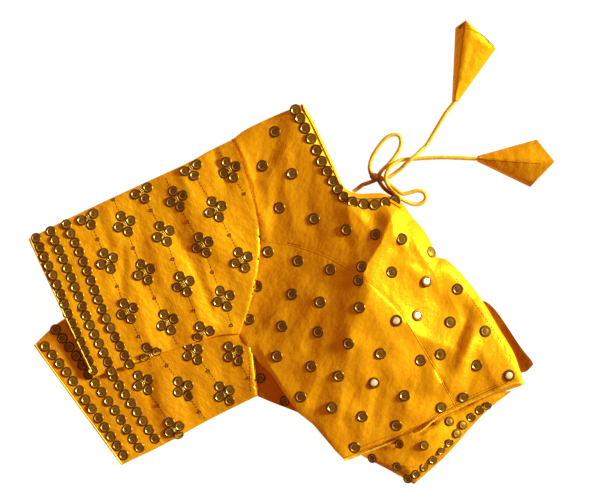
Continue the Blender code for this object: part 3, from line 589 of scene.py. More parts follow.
# ---- Left sleeve ----
# A wide sleeve of the same silk, pressed flat as a tube of two walls that are joined along its folds.
# It is set into the armhole, and its open end is finished with a narrow piping.
LEFT_SLEEVE_CREASES = (
    (26, 14, 1.3, 1.6, (168, 176), (184, 200), (202, 232), (226, 262)),
    (9, 12, -0.7, 1.6, (150, 182), (166, 200), (184, 232), (206, 262)),
    (5, 6, -1.6, 1.4, (214, 150), (219, 166), (227, 186)),
    (12, 14, 1.2, 1.7, (206, 156), (214, 184), (224, 212)),
    (8, 9, 1.1, 1.6, (161, 238), (176, 264), (184, 282)),
    (20, 22, 1.9, 1.8, (220, 146), (228, 172), (232, 202), (235, 240), (236, 270)),
    (12, 8, 1.1, 1.6, (196, 158), (203, 176), (207, 190)),
    (9, 6, -1.6, 1.5, (175, 234), (193, 264), (205, 291), (215, 318)),
    *ARMHOLE_CREASES,
    (6, 13, 1.9, 1.6, (253, 200), (258, 228), (259, 256), (254, 284), (248, 308)),
    (6, 9, 0.9, 1.6, (196, 300), (199, 320), (200, 334)),
    (6, 9, 0.9, 1.6, (232, 300), (233, 318), (231, 332)),
    (14, 5, 2.0, 1.6, (150, 242), (158, 260), (164, 280)),
    (20, 5, 2.2, 1.6, (178, 160), (183, 176), (190, 194)),
    (8, 5, 1.3, 1.5, (232, 136), (238, 152), (243, 168)),
    (5, 10, 1.7, 1.5, (214, 290), (215, 306), (214, 322)),
    (6, 17, 1.6, 1.6, (198, 242), (204, 264), (209, 284)),
    (6, 10, 0.7, 1.6, (104, 220), (107, 240)),
    (6, 9, 0.8, 1.6, (128, 250), (130, 280), (130, 300)),
    (8, 8, -0.9, 1.6, (226, 268), (230, 290), (234, 316)),
    (8, 9, 0.8, 1.5, (136, 288), (140, 306), (146, 330), (152, 350)),
    (9, 9, 1.2, 1.6, (176, 306), (186, 322), (190, 338)),
    (8, 8, -1.2, 1.6, (162, 300), (168, 322), (172, 342)),
    (4, 4, -1.0, 1.4, (98, 212), (103, 228), (110, 246)),
    (4, 4, 0.9, 1.4, (107, 208), (113, 226), (118, 244)),
    (5, 5, -1.1, 1.5, (124, 252), (124, 270), (122, 288)),
    (8, 8, -0.9, 1.7, (132, 205), (140, 226), (150, 250)),
    (8, 8, 1.1, 1.7, (148, 250), (152, 270), (160, 290)),
    (8, 8, 0.8, 1.7, (104, 262), (110, 284), (118, 310)),
    (9, 9, 1.5, 1.6, (42, 250), (50, 268), (57, 286)),
    (5, 5, 0.8, 1.5, (56, 244), (62, 262), (68, 282)),
    (8, 8, 1.0, 1.7, (70, 300), (78, 322), (90, 352)),
    (7, 7, 0.7, 1.7, (84, 250), (92, 272), (100, 296)),
)
left_sleeve_surface = cloth_piece(
    "left_sleeve_silk", "left_sleeve", sleeve_silk,
    LEFT_SLEEVE_CREASES, hollow=True, seams=(ARMHOLE,),
)

# ---- Right sleeve ----
# The sleeve of the half that lies below, its silk painted a little darker as the shade of the left
# one. It comes out beneath the blouse, and its inner end lies folded under the side panel.
RIGHT_SLEEVE_CREASES = (
    (26, 8, 1.6, 1.6, (158, 378), (160, 396), (166, 416), (176, 436)),
    (8, 10, -1.6, 1.5, (149, 386), (151, 406), (157, 424), (166, 440)),
    (12, 12, -0.9, 1.7, (196, 378), (206, 396), (214, 414)),
    (8, 9, -0.9, 1.6, (234, 345), (238, 366), (242, 388)),
    (9, 9, -1.0, 1.7, (216, 350), (222, 370), (228, 392)),
    (8, 8, 0.4, 1.7, (118, 386), (128, 404), (140, 426)),
    (6, 40, 3.6, 1.8, (250, 350), (252, 372), (254, 392)),
    (3, 13, 2.4, 1.7, (253, 350), (255, 372), (257, 393)),
    (12, 8, 1.3, 1.6, (192, 372), (196, 392), (201, 412)),
    (6, 14, 1.1, 1.7, (232, 338), (238, 352), (241, 362)),
    (5, 9, 0.9, 1.6, (134, 380), (146, 402), (162, 432)),
    (7, 7, 0.7, 1.6, (110, 412), (118, 430), (128, 450)),
    (10, 10, -0.9, 1.7, (180, 380), (188, 400), (196, 420)),
    (8, 8, -0.8, 1.7, (60, 346), (72, 364), (82, 380)),
)
right_sleeve_surface = cloth_piece(
    "right_sleeve_silk", "right_sleeve", shaded_sleeve_silk,
    RIGHT_SLEEVE_CREASES, hollow=True,
)

# ---- Lower pieces ----
# What shows of the rest: the back panel and the other half below the front, the strip of the hooks,
# the bindings of neck and cuffs, and the latkans, each a square of silk folded to a kite.
LOWER_CREASES = {
    "neck_binding": FRONT_CREASES,
    "back_panel": (
        (20, 14, 4.2, 1.7, (438, 408), (432, 424), (426, 440)),
        (8, 16, 1.6, 1.6, (417, 438), (411, 452), (405, 466)),
        (8, 8, 1.4, 1.5, (398, 440), (392, 452), (386, 462)),
        (5, 7, 1.8, 1.4, (424.8, 430.6), (409, 445), (398, 459.7)),
        (4, 5, 1.5, 1.4, (422.4, 447.5), (411.5, 457), (407, 467)),
        (7, 7, 1.6, 1.5, (441.8, 430.6), (427.2, 452.4)),
        (4, 4, -0.5, 1.4, (417.5, 439), (407.9, 450)),
        (6, 6, 0.8, 1.5, (381, 452), (394.5, 462)),
        (8, 8, 0.9, 1.6, (456, 418), (448, 436), (438, 452)),
        (8, 8, 0.6, 1.6, (476, 406), (466, 420)),
        (22, 28, 2.6, 1.8, (436, 422), (426, 448), (414, 470)),
        (8, 7, 6.0, 1.8, (390, 442), (408, 433), (426, 424)),
        (8, 7, 2.6, 1.8, (464, 408), (480, 401), (496, 393)),
    ),
    "hook_placket": (
        (4, 13, 3.6, 1.8, (500, 303), (512, 328), (525, 350), (536, 364)),
        (7, 4, -1.6, 1.6, (498, 330), (509, 346), (518, 366)),
    ),
    "latkan_upper": (
        (13, 3, 1.6, 1.8, (452, 24), (451, 58), (452, 92)),
        (7, 7, -1.5, 1.8, (469, 20), (465, 55), (458, 90)),
        (3, 20, 2.0, 1.8, (494, 44), (478, 66), (462, 90)),
        (3, 3, 0.6, 1.6, (476, 40), (468, 62), (460, 84)),
        (3, 3, 0.7, 1.6, (488, 44), (474, 66), (462, 86)),
    ),
    "latkan_right": (
        (34, 9, 2.2, 1.7, (488, 150), (488, 180)),
        (3, 3, 0.7, 1.5, (492, 152), (498, 164)),
        (3, 3, 0.7, 1.5, (504, 148), (508, 164)),
        (3, 3, 0.9, 1.5, (518, 145), (520, 166)),
        (3, 3, 0.7, 1.5, (528, 148), (530, 166)),
    ),
}
HOLLOW = ("back_panel", "latkan_upper", "latkan_right")
LOOSE = ("hidden_layers", "latkan_upper", "latkan_right")
lower_surfaces = {}
for name, node, finish, slot, flat, area in (
    ("neck_binding_silk", "neck_binding", yellow_silk, "yellow_silk", (0.0102, 0.148), 0.0010),
    # The hidden layers and the other half's side panel carry the silk painted darker as shade.
    ("hidden_layers_silk", "hidden_layers", shaded_under_silk, "shaded_silk", (0.345, 0.190), 0.0520),
    ("left_piping_silk", "left_cuff_piping", sleeve_silk, "yellow_silk", (0.0102, 0.155), 0.0011),
    ("right_piping_silk", "right_cuff_piping", sleeve_silk, "yellow_silk", (0.0102, 0.150), 0.0011),
    ("right_side_silk", "right_side_panel", shaded_under_silk, "shaded_silk", (0.030, 0.076), 0.0014),
    ("back_silk", "back_panel", yellow_silk, "yellow_silk", (0.058, 0.172), 0.0056),
    # The hook strip's silk is partly its lining's colour and partly painted shade.
    ("placket_silk", "hook_placket", dark_silk, "shaded_silk", (0.022, 0.088), 0.0015),
    ("latkan_upper_silk", "latkan_upper", yellow_silk, "yellow_silk", (0.065, 0.065), 0.0041),
    ("latkan_right_silk", "latkan_right", yellow_silk, "yellow_silk", (0.061, 0.061), 0.0036),
):
    lower_surfaces[node] = cloth_piece(
        name, node, finish, LOWER_CREASES.get(node, ()), levels=2,
        hollow=node in HOLLOW, rests_on=() if node in LOOSE else ("hidden_layers_silk",),
    )

# ---- Edges and seams ----
# Turned edges of the silk stand up as narrow lips: along the seams, round the hem and at the sleeves'
# ends. Rows of stitches hold them, and a thin piping runs round the neck.
seam_thread = silk("seam_thread", (0.48, 0.17, 0.005), (0.26, 0.075, 0.002), roughness=0.6, lustre=0.1)
LINE_STEP = 2.0
STITCH_STEP = 1.1  # three points make a stitch
RAY_START = 100.0  # millimetres above the mat, over everything
CLOTH_LEVEL = 6.0  # about where the cloth's top is


def hit_below(surface, across, down):
    """Where a line straight down through a plan place first meets the surface, or None."""
    return surface.ray_cast(mat_place(across, down, RAY_START), DOWNWARD)[0]


def top_of(surfaces, across, down):
    """The highest of these surfaces at a plan place, or the nearest one beside a gap."""
    hits = [hit_below(surface, across, down) for surface in surfaces]
    levels = [hit.z for hit in hits if hit]
    if levels:
        return max(levels)
    place = mat_place(across, down, CLOTH_LEVEL)
    beside = [surface.find_nearest(place)[0] for surface in surfaces]
    return min(beside, key=lambda hit: (hit.xy - place.xy).length).z


def laid_line(surfaces, line, lift, step):
    """Points along a plan line, on the surfaces below it and this much above them."""
    plan = evened(line, step)
    levels = np.array([top_of(surfaces, point.x, point.y) for point in plan])
    padded = np.concatenate((levels[:1], levels, levels[-1:]))
    levels = (padded[:-2] + 2 * padded[1:-1] + padded[2:]) / 4
    return [
        mat_place(point.x, point.y) + Vector((0, 0, level + lift * MM))
        for point, level in zip(plan, levels)
    ]


def laid_lines(name, thick, lift, finish, runs, stitched=False):
    """Threads or lips laid on the cloth along plan lines: whole, or as a row of stitches."""
    threads = []
    for surfaces, line in runs:
        points = laid_line(surfaces, line, lift, STITCH_STEP if stitched else LINE_STEP)
        if stitched:
            threads += [points[i:i + 3] for i in range(0, len(points) - 3, 3)]
        else:
            threads.append(points)
    round_line(name, threads, thick, finish)


# A copy of the silk painted lighter and yellower: painted highlight along the cuffs' piping and the
# hem's turned edge.
rim_highlight_silk = silk("rim_highlight_silk", (0.98, 0.66, 0.06), (0.92, 0.46, 0.02), roughness=0.4)
LEFT_CUFF_EDGE = ((30.2, 239), (46, 274), (57.6, 298), (68.6, 322), (80, 346), (91.8, 371))
RIGHT_CUFF_EDGE = (
    (35.2, 344.5), (51.8, 368), (69.6, 392), (86.9, 416), (105, 440), (121.5, 463.5),
)
FRONT_HEM = (
    (345, 460), (360, 454), (380, 446.5), (400, 438.8), (420, 431), (436, 418.5), (456, 408.5),
    (480, 397.5), (508, 384.5), (523, 382),
)
HEM_DEPTH = (1.1, 2.6)  # the stitched line lies this far in from the hem
HEM_LINE = [(across - HEM_DEPTH[0], down - HEM_DEPTH[1]) for across, down in FRONT_HEM[:-1]]
HEM_STITCHES = (
    (348, 453), (358, 447.7), (385.5, 437), (420, 424.5), (434, 413.5), (456, 402.5), (486, 389),
    (512, 378),
)
NECK_PIPING = (
    (301.5, 104.5), (307, 116), (313, 129.5), (319, 142.5), (325.5, 156), (331.5, 168.5),
    (337.5, 181), (343, 190),
)
latkan_upper_top = (lower_surfaces["latkan_upper"],)
latkan_right_top = (lower_surfaces["latkan_right"],)
right_sleeve_top = (right_sleeve_surface,)
# Thickness and lift are in millimetres. Each run is the surfaces that it lies on and its plan line.
for name, thick, lift, finish, slot, runs in (
    ("cuff_piping_edges", 1.7, 0.5, rim_highlight_silk, "yellow_silk", (
        ((left_sleeve_surface, lower_surfaces["left_cuff_piping"]), LEFT_CUFF_EDGE),
        ((right_sleeve_surface, lower_surfaces["right_cuff_piping"]), RIGHT_CUFF_EDGE),
    )),
    ("latkan_seams", 0.6, 0.0, seam_thread, "yellow_silk", (
        (latkan_right_top, ((479, 159.6), (500, 161), (520, 162.6), (540.5, 164))),
        (latkan_upper_top, ((462, 28), (472, 30.5), (483, 36), (494, 46.5))),
    )),
    # A dark strip painted as the shade inside the latkan's opening.
    ("latkan_opening", 3.4, -1.2, dark_silk, "shaded_silk", (
        (latkan_upper_top, ((459.3, 28.2), (461.5, 26.2), (463.8, 24.6))),
    )),
    ("princess_seam_lip", 1.0, -0.15, yellow_silk, "yellow_silk", ((body_surfaces, PRINCESS_SEAM),)),
    ("armhole_seam_lip", 0.9, 0.1, seam_thread, "yellow_silk", (
        ((front_centre_surface, left_sleeve_surface), ARMHOLE[:5]),
    )),
    ("sleeve_end_lip", 1.0, -0.2, yellow_silk, "yellow_silk", (
        ((front_side_surface, left_sleeve_surface), ARMHOLE[4:]),
    )),
    ("right_sleeve_fold", 1.8, -1.2, seam_thread, "shaded_silk", (
        (right_sleeve_top, ((252.6, 350), (253.4, 357), (255.0, 375), (256.8, 395))),
    )),
    ("front_hem_fold", 2.4, -0.3, rim_highlight_silk, "yellow_silk", ((body_surfaces, FRONT_HEM),)),
    ("front_hem_line", 0.9, -0.05, seam_thread, "yellow_silk", ((body_surfaces, HEM_LINE),)),
    ("neck_piping_line", 0.8, 0.15, dark_silk, "shaded_silk", (
        ((front_centre_surface, lower_surfaces["neck_binding"]), NECK_PIPING),
    )),
):
    laid_lines(name, thick, lift, finish, runs)
laid_lines("hem_stitches", 0.6, 0.0, seam_thread, (
    (body_surfaces, HEM_STITCHES),
    (body_surfaces, ((455, 278), (474, 303), (495, 333), (512, 359.5), (516.6, 367))),
    ((lower_surfaces["back_panel"],), ((386, 465.7), (400, 466), (417.5, 467))),
    (right_sleeve_top, ((249.5, 356), (250, 374), (251, 392))),
), stitched=True)

# ---- Sequins ----
# Round antique-gold sequins: a raised ring round a foil disc, sewn flat on the silk. They stand alone
# on the body, side by side along the neck, the cuffs and the hem, and by fours on the sleeves.
SEQUIN_SIDES = 14
SEQUIN_PROFILE = ((1.0, 0.0), (0.88, 0.10), (0.70, 0.11), (0.56, 0.02), (0.42, 0.04))
SEQUIN_BANDS = (1, 1, 0, 2)  # finish of each band of the profile, from the edge inwards
SEQUIN_FOOT = 0.01  # a face lower than this is the plain one beneath
SEQUIN_CREASE = math.radians(25)
SEQUIN_LIFT = 0.05
TURN_SHARE = 0.6  # a full turn brings a sequin this far round
TILT_LIFT = 0.5  # and a tilted one is raised by this share of its rim's fall
LIGHT_HALFWAY = Vector((0.42, 0.17, 0.89)).normalized()
RIM_SHARE, RIM_PLACES = 0.85, 8  # a trim is laid on its middle and so many places about its rim
FALL_SHARE = 0.45  # a rim over a fold's edge looks for the cloth at this share
PROUD_SHARE = 0.6  # a trim rides this far up on the highest place below it


def metal(name, dark, bright, roughness, metallic, pitch):
    """Aged metal: its colour and gloss wander between a tarnished and a worn state."""
    material, shader, start = golden_finish(name, metallic)
    age = start.noise(0.0, (pitch, pitch, pitch), 3.0)
    age.blend((*dark, 1.0), (*bright, 1.0)).feed(shader, "Base Color")
    (age * 0.25 + roughness - 0.12).feed(shader, "Roughness")
    return material


gold = metal("antique_gold", (0.37, 0.18, 0.033), (0.68, 0.39, 0.12), 0.32, 0.6, 0.003)
groove = metal("sequin_ring", (0.13, 0.048, 0.002), (0.25, 0.105, 0.009), 0.38, 0.5, 0.003)
mirror = metal("sequin_mirror", (0.175, 0.070, 0.006), (0.42, 0.205, 0.028), 0.36, 0.65, 0.002)
# Painted reflection: sequins turned towards the light take a lighter foil and a darker bevel as their
# glint.
glint_painted_foil = metal("sequin_glint_painted_foil", (0.62, 0.36, 0.23), (0.88, 0.60, 0.42), 0.38, 0.4, 0.002)
SEQUIN_FINISHES = (gold, groove, mirror)
GLINT_PAINTED_FINISHES = (groove, groove, glint_painted_foil)
GLINT_PAINTED_FROM = 0.6  # a place turned this far to the light has a painted glint: the lighter foil and a darker bevel


def spun(form, geometry, steps):
    """Turns a section fully about the upright axis, with its faces outwards."""
    bmesh.ops.spin(
        form, geom=geometry, cent=(0, 0, 0), axis=(0, 0, 1), dvec=(0, 0, 0), angle=math.tau,
        steps=steps, use_merge=True, use_duplicate=False,
    )
    bmesh.ops.holes_fill(form, edges=[edge for edge in form.edges if edge.is_boundary], sides=0)
    bmesh.ops.recalc_face_normals(form, faces=form.faces)


def sequin_shape():
    """One sequin of unit radius: a spun ring, closed by the foil above and a plain face beneath."""
    form = bmesh.new()
    profile = [form.verts.new((radius, 0.0, height)) for radius, height in SEQUIN_PROFILE]
    edges = [form.edges.new(pair) for pair in zip(profile, profile[1:])]
    spun(form, profile + edges, SEQUIN_SIDES)
    for face in form.faces:
        face.smooth = len(face.verts) == 4
        middle = face.calc_center_median()
        if len(face.verts) > 4:
            face.material_index = 2 if middle.z > SEQUIN_FOOT else 0
        else:
            inner = sum(middle.xy.length < radius for radius, _ in SEQUIN_PROFILE[1:-1])
            face.material_index = SEQUIN_BANDS[inner]
    shape = mesh_from("sequin_shape", form, smooth=False)
    shape.set_sharp_from_angle(angle=SEQUIN_CREASE)
    return shape


def laid_at(surface, across, down, radius, folded=True):
    """Where a flat trim of this radius lies on a surface, and the direction that it faces."""
    rim = [math.tau * number / RIM_PLACES for number in range(RIM_PLACES)]
    found, missed = [], []
    for x, y in [(0.0, 0.0)] + [(math.cos(turn), math.sin(turn)) for turn in rim]:
        place = (across + x * radius * RIM_SHARE, down + y * radius * RIM_SHARE)
        hit = hit_below(surface, *place)
        if hit:
            found.append(hit)
        else:
            missed.append(mat_place(*place))
    over_edge = missed if folded else []
    level = sum(hit.z for hit in found) / len(found)
    for place in over_edge:
        found.append(surface.find_nearest(Vector((*place.xy, level * FALL_SHARE)))[0])
    places = np.array([list(place) for place in found])
    terms = np.column_stack((places[:, 0], places[:, 1], np.ones(len(places))))
    slope_x, slope_y, height = np.linalg.lstsq(terms, places[:, 2], rcond=None)[0]
    x, y, _ = mat_place(across, down)
    if over_edge:
        x, y = places[:, 0].mean(), places[:, 1].mean()
    over = max(0.0, float((places[:, 2] - terms @ (slope_x, slope_y, height)).max()))
    fit = slope_x * x + slope_y * y + height + over * PROUD_SHARE
    return Vector((x, y, fit)), Vector((-slope_x, -slope_y, 1.0)).normalized()


def trim_piece(name, shape, spots, *materials):
    """Many copies of one small shape as one piece: each spot is a matrix."""
    form = bmesh.new()
    for spot in spots:
        first = len(form.verts)
        form.from_mesh(shape)
        form.verts.ensure_lookup_table()
        bmesh.ops.transform(form, matrix=spot, verts=form.verts[first:])
    piece = link(name, mesh_from(name, form, smooth=False), *materials)
    return piece


def spot_matrix(place, facing, size, turn):
    """Takes a shape of unit size to its place, size and turn, facing this way."""
    return (
        Matrix.Translation(place) @ facing.to_track_quat("Z", "Y").to_matrix().to_4x4()
        @ Matrix.Rotation(turn, 4, "Z") @ Matrix.Diagonal((*[size * MM] * 3, 1.0))
    )


sequin = sequin_shape()
chance = random.Random(11)


def sequins(
    name, surface, places, radius, wobble=0.06, finishes=SEQUIN_FINISHES, folded=True, upright=0.0,
):
    """Sequins of one size, as one piece. A place's third number turns it towards the light, or,
    where it is below 0, away from it and upright."""
    spots = []
    for across, down, *glint in places:
        place, facing = laid_at(surface, across, down, radius, folded)
        flat, facing = facing, facing.lerp(UPWARD, upright)
        facing = facing + Vector((chance.gauss(0, wobble), chance.gauss(0, wobble), 0.0))
        turned = glint[0] * TURN_SHARE if glint else 0.0
        goal = LIGHT_HALFWAY if turned > 0 else UPWARD
        facing = facing.normalized().lerp(goal, abs(turned)).normalized()
        raised = SEQUIN_LIFT + radius * facing.angle(flat) * TILT_LIFT
        place = place + Vector((0, 0, raised * MM))
        spots.append(spot_matrix(place, facing, radius, chance.uniform(0, math.tau)))
    trim_piece(name, sequin, spots, *finishes)


CENTRE_SEQUINS = (
    (275, 132), (262.5, 166), (292, 174), (279.5, 208), (314, 219), (346, 230), (375, 234.5),
    (361, 266.5), (401, 239, -1.0), (431, 252, -0.3), (391, 272), (426, 281, 0.9), (457, 289, -0.3),
    (417, 315, 0.8), (450, 322, -0.6), (485, 331, 0.5), (440, 354, 0.1), (476, 365, 0.1),
    (509, 375, 0.9), (463, 397),
)
SIDE_SEQUINS = (
    (268, 252), (298, 261), (330, 269.5), (359, 280.5), (359, 307, 0.1), (396, 320, 0.7),
    (256.5, 286), (292, 294), (320, 302), (249, 319), (282, 326), (318, 331.5), (348, 343),
    (380, 353, 0.1), (420, 360, 0.15), (277, 356, 0.1), (311, 366), (338.5, 375.5, 0.2),
    (374, 382, 0.6), (404, 395), (441, 407), (300.5, 396.5), (332, 407, 0.4), (362, 416),
    (396, 425), (354.5, 447),
)
BODY_SEQUIN, BACK_SEQUIN, UNDERARM_SEQUIN = 6.0, 4.9, 5.2
for name, surface, places in (
    ("centre", front_centre_surface, CENTRE_SEQUINS), ("side", front_side_surface, SIDE_SEQUINS),
):
    # Sequins turned far enough to the light get the painted glint.
    bright = [place for place in places if len(place) == 3 and place[2] >= GLINT_PAINTED_FROM]
    plain = [place for place in places if place not in bright]
    sequins(name + "_sequins", surface, plain, BODY_SEQUIN)
    sequins(name + "_bright_sequins", surface, bright, BODY_SEQUIN, finishes=GLINT_PAINTED_FINISHES)

NECK_ROW = (
    (295.6, 110.4), (300, 118.7), (305, 128.6), (311, 139.2), (316.6, 150.5), (321.4, 161.6),
    (327.1, 171.7), (332.7, 181.6), (337.6, 189.6), (343.3, 197.5), (352.4, 202.5), (363.6, 204.4),
    (374.3, 205.2), (384.8, 203), (394.5, 200.8),
)
laid_lines("neck_threads", 1.6, -0.45, seam_thread, (
    ((front_centre_surface,), NECK_ROW[1:-1]),
))
sequins(
    "neck_sequins", front_centre_surface, NECK_ROW, BODY_SEQUIN, 0.08, folded=False, upright=0.9,
)

BACK_ROW = (
    (399, 443.5), (424, 445, 0.2), (397, 466.5, 0.4), (372, 458.5), (449.5, 421, 0.8),
    (407.3, 479.5), (415.7, 474, 0.5), (424, 467), (432.7, 459.7, 0.3), (441, 450.8),
    (449, 442.7), (457, 433.2, 0.7), (463, 424.7, 0.8), (471, 417.3), (479.3, 410, 0.3),
    (487, 405.8),
)
UNDERARM_PAIR = ((260.5, 378), (284.7, 401, 0.6))
sequins("back_sequins", lower_surfaces["back_panel"], BACK_ROW, BACK_SEQUIN, 0.1)
sequins(
    "underarm_sequins", lower_surfaces["right_side_panel"], UNDERARM_PAIR, UNDERARM_SEQUIN,
)

# ---- Sleeve motifs ----
# Four sequins round a few gold beads, in staggered rows that follow the cuff. A fine couched line with
# a small ring in its middle joins each motif to the next, and three close rows border the cuff.
PETAL = CUFF_SEQUIN = 5.5
bead_gold = metal("bead_gold", (0.50, 0.33, 0.05), (0.85, 0.66, 0.22), 0.3, 0.4, 0.002)
ring_gold = metal("ring_gold", (0.26, 0.085, 0.006), (0.55, 0.24, 0.03), 0.35, 0.4, 0.002)
BEAD_SIZE, BEAD_SPREAD, BEAD_LIFT = 0.95, 1.15, 0.5
RING_SIZE, RING_WIRE, RING_LIFT = 1.25, 0.45, 0.1
RING_SIDES = 10
LEFT_RINGS = (
    (114.2, 199.7), (98.7, 239.2), (134.2, 248), (173.8, 259), (189, 222), (213, 272), (230, 235),
    (118.2, 286.3), (155.4, 298), (194.8, 310), (140, 336), (152, 210.3), (232, 325), (245, 194),
)
RIGHT_RINGS = ((167.8, 365.5), (209, 370.7), (249.5, 377.4), (159, 405), (200.2, 411.4))
LEFT_COLUMNS = (
    ((85, 210), (88, 217), (98.7, 239.2), (108, 261), (118.2, 286.3), (128, 311), (140, 336),
     (151, 355), (156, 366)),
    ((114.2, 199.7), (125, 224), (134.2, 248), (145, 272), (155.4, 298), (168, 322), (178, 345)),
    ((141.6, 191), (152, 210.3), (164, 234), (173.8, 259), (184, 284), (194.8, 310), (204, 334)),
    ((166, 178), (177, 199), (189, 222), (203, 245), (213, 272), (224, 298.5), (232, 325)),
    ((191, 168), (203, 188), (216, 209.5), (230, 235), (242, 260)),
    ((220, 152), (230, 170), (245, 194)),
)
RIGHT_COLUMNS = (
    ((131, 365), (143.3, 382.6), (159, 405), (174.5, 429)),
    ((158, 352), (167.8, 365.5), (183.5, 388.5), (200.2, 411.4), (206, 420)),
    ((193, 352.5), (209, 370.7), (224.8, 393.4)),
    ((233.8, 353.5), (249.5, 377.4)),
)
LEFT_MOTIFS = (
    (88, 217), (125, 224), (164, 234), (203, 245), (242, 260), (108, 261), (145, 272), (184, 284),
    (224, 298.5), (128, 311), (168, 322), (204, 334), (151, 355), (141.6, 191), (177, 199),
    (191, 168), (216, 209.5), (230, 170),
)
LEFT_ALONG, LEFT_ACROSS = (3.57, 7.69), (6.07, -3.31)
RIGHT_MOTIFS = (
    (143.3, 382.6), (183.5, 388.5), (224.8, 393.4), (193, 352.5), (233.8, 353.5), (174.5, 429),
)
RIGHT_ALONG, RIGHT_ACROSS = (4.85, 7.05), (5.15, -3.25)
LEFT_CUFF_ROWS = (
    ((36.2, 238), (45.3, 257.8), (59.2, 288), (71, 319.4), (79.8, 337.9), (93.3, 369.9)),
    ((51, 231.4), (65.1, 261.7), (77.6, 291.5), (89.5, 322), (104.5, 352.5), (112, 371)),
    ((66.7, 224.3), (80.3, 253), (93.1, 284), (105.4, 315), (120.4, 346), (130, 364)),
)
RIGHT_CUFF_ROWS = (
    ((45.6, 346.3), (67.5, 372.7), (86, 399.4), (105, 427), (123.7, 454.7)),
    ((55.7, 329.5), (74.9, 353.9), (94.9, 382.6), (115, 409.2), (132.3, 437.4), (139.5, 447.5)),
    ((96, 350), (113.9, 376.5), (128.8, 398.9), (148, 427.6), (155, 438.5)),
)


def bead_shape():
    """A small round bead."""
    form = bmesh.new()
    bmesh.ops.create_uvsphere(form, u_segments=8, v_segments=5, radius=1.0)
    return mesh_from("bead_shape", form)


def ring_shape():
    """A small ring, lying flat."""
    form = bmesh.new()
    section = bmesh.ops.create_circle(form, segments=5, radius=RING_WIRE)["verts"]
    bmesh.ops.rotate(form, cent=(0, 0, 0), matrix=Matrix.Rotation(math.pi / 2, 3, "X"), verts=section)
    bmesh.ops.translate(form, vec=(1.0, 0, 0.25), verts=section)
    spun(form, form.verts[:] + form.edges[:], RING_SIDES)
    return mesh_from("ring_shape", form)


bead, ring = bead_shape(), ring_shape()


def laid_spots(surface, places, size, lift):
    """Where small trims lie on a surface, this much above it."""
    spots = []
    for across, down in places:
        place, facing = laid_at(surface, across, down, size)
        spots.append(spot_matrix(place + facing * lift * MM, facing, size, 0.0))
    return spots


def petals(surface, motifs, along, across):
    """The places of the four sequins of each motif, without those that a folded edge takes under."""
    places = [
        (x + along[0] * a + across[0] * b, y + along[1] * a + across[1] * b)
        for x, y in motifs for a, b in ((1, 0), (-1, 0), (0, 1), (0, -1))
    ]
    return [place for place in places if hit_below(surface, *place)]


for side, surface, motifs, along, across, rows, spacing, rings, columns in (
    ("left", left_sleeve_surface, LEFT_MOTIFS, LEFT_ALONG, LEFT_ACROSS, LEFT_CUFF_ROWS, 10.5,
     LEFT_RINGS, LEFT_COLUMNS),
    ("right", right_sleeve_surface, RIGHT_MOTIFS, RIGHT_ALONG, RIGHT_ACROSS, RIGHT_CUFF_ROWS, 11.1,
     RIGHT_RINGS, RIGHT_COLUMNS),
):
    sequins(side + "_motif_sequins", surface, petals(surface, motifs, along, across), PETAL, 0.07)
    border = [place for row in rows for place in evened(row, spacing)]
    sequins(side + "_cuff_sequins", surface, border, CUFF_SEQUIN, 0.07, folded=False)
    centres = [
        (x + BEAD_SPREAD * a, y + BEAD_SPREAD * b)
        for x, y in motifs for a, b in ((1, 0.3), (-1, -0.3), (-0.3, 1), (0.3, -1))
    ]
    trim_piece(side + "_beads", bead, laid_spots(surface, centres, BEAD_SIZE, BEAD_LIFT), bead_gold)
    trim_piece(side + "_rings", ring, laid_spots(surface, rings, RING_SIZE, RING_LIFT), ring_gold)
    for name, thick, lift, lines, stitched in (
        ("_couched_threads", 0.6, 0.05, columns, True), ("_cuff_threads", 1.4, -0.45, rows, False),
    ):
        laid_lines(
            side + name, thick, lift, seam_thread,
            [((surface,), line) for line in lines], stitched,
        )

# ---- Ends of the dori ----
# Each cord comes out of the neck's binding and carries its latkan at its far end. Both lie loose on
# the table. Here only the places where the two cords start are worked out.
mat_place(*LEFT_DORI[0])
mat_place(*RIGHT_DORI[0])

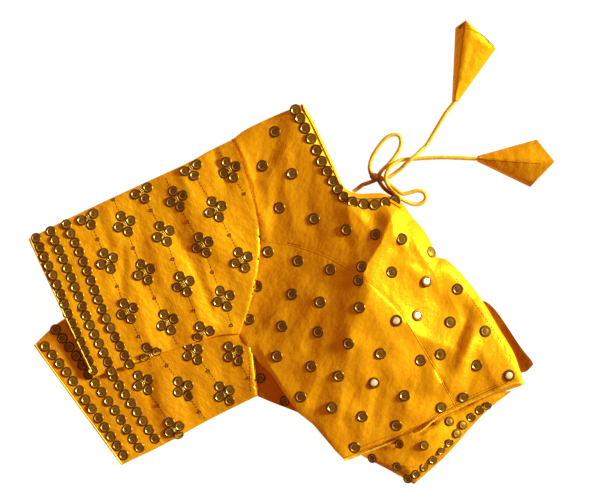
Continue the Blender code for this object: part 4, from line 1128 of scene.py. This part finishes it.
# ---- Floor and light ----
# A white table that glows a little, so that only faint shadows show on it. One low soft light from
# the right models the folds, and a dim warm sky fills them.
KEY_STRENGTH = 7.8
KEY_COLOUR = (0.73, 1.0, 0.90)
KEY_ELEVATION = math.radians(23)
KEY_AZIMUTH = math.radians(17)
FLOOR_GLOW = 0.97
KEY_SPREAD = math.radians(13)
SKY_STRENGTH = 0.29
SKY_COLOUR = (1.5, 0.87, 0.78, 1.0)
VIEW_GAMMA = 0.85
FLOOR_DROP = 0.0005  # metres below the mat, so that nothing lies in the floor
floor_form = bmesh.new()
bmesh.ops.create_grid(floor_form, x_segments=1, y_segments=1, size=10.0)
floor_mesh = mesh_from("floor", floor_form)
floor_finish = bpy.data.materials.new("white_floor")
floor_finish.use_nodes = True
floor_shader = floor_finish.node_tree.nodes["Principled BSDF"]
floor_shader.inputs["Base Color"].default_value = (0.10, 0.10, 0.10, 1.0)
floor_shader.inputs["Roughness"].default_value = 0.9
floor_shader.inputs["Emission Color"].default_value = (1.0, 1.0, 1.0, 1.0)
floor_shader.inputs["Emission Strength"].default_value = FLOOR_GLOW
floor_mesh.materials.append(floor_finish)
floor = bpy.data.objects.new("floor", floor_mesh)
floor.location = (0, 0, -FLOOR_DROP)
bpy.context.scene.collection.objects.link(floor)

key = bpy.data.lights.new("key_light", "SUN")
key.energy = KEY_STRENGTH
key.color = KEY_COLOUR
key.angle = KEY_SPREAD
key_lamp = bpy.data.objects.new("key_light", key)
aim = Vector((
    math.cos(KEY_ELEVATION) * math.cos(KEY_AZIMUTH), math.cos(KEY_ELEVATION) * math.sin(KEY_AZIMUTH),
    math.sin(KEY_ELEVATION),
))
key_lamp.rotation_mode = "QUATERNION"
key_lamp.rotation_quaternion = aim.to_track_quat("Z", "Y")
bpy.context.scene.collection.objects.link(key_lamp)

world = bpy.data.worlds.new("studio")
world.use_nodes = True
sky = world.node_tree.nodes["Background"]
sky.inputs["Color"].default_value = SKY_COLOUR
sky.inputs["Strength"].default_value = SKY_STRENGTH
bpy.context.scene.world = world
bpy.context.scene.view_settings.view_transform = "Standard"
bpy.context.scene.view_settings.gamma = VIEW_GAMMA
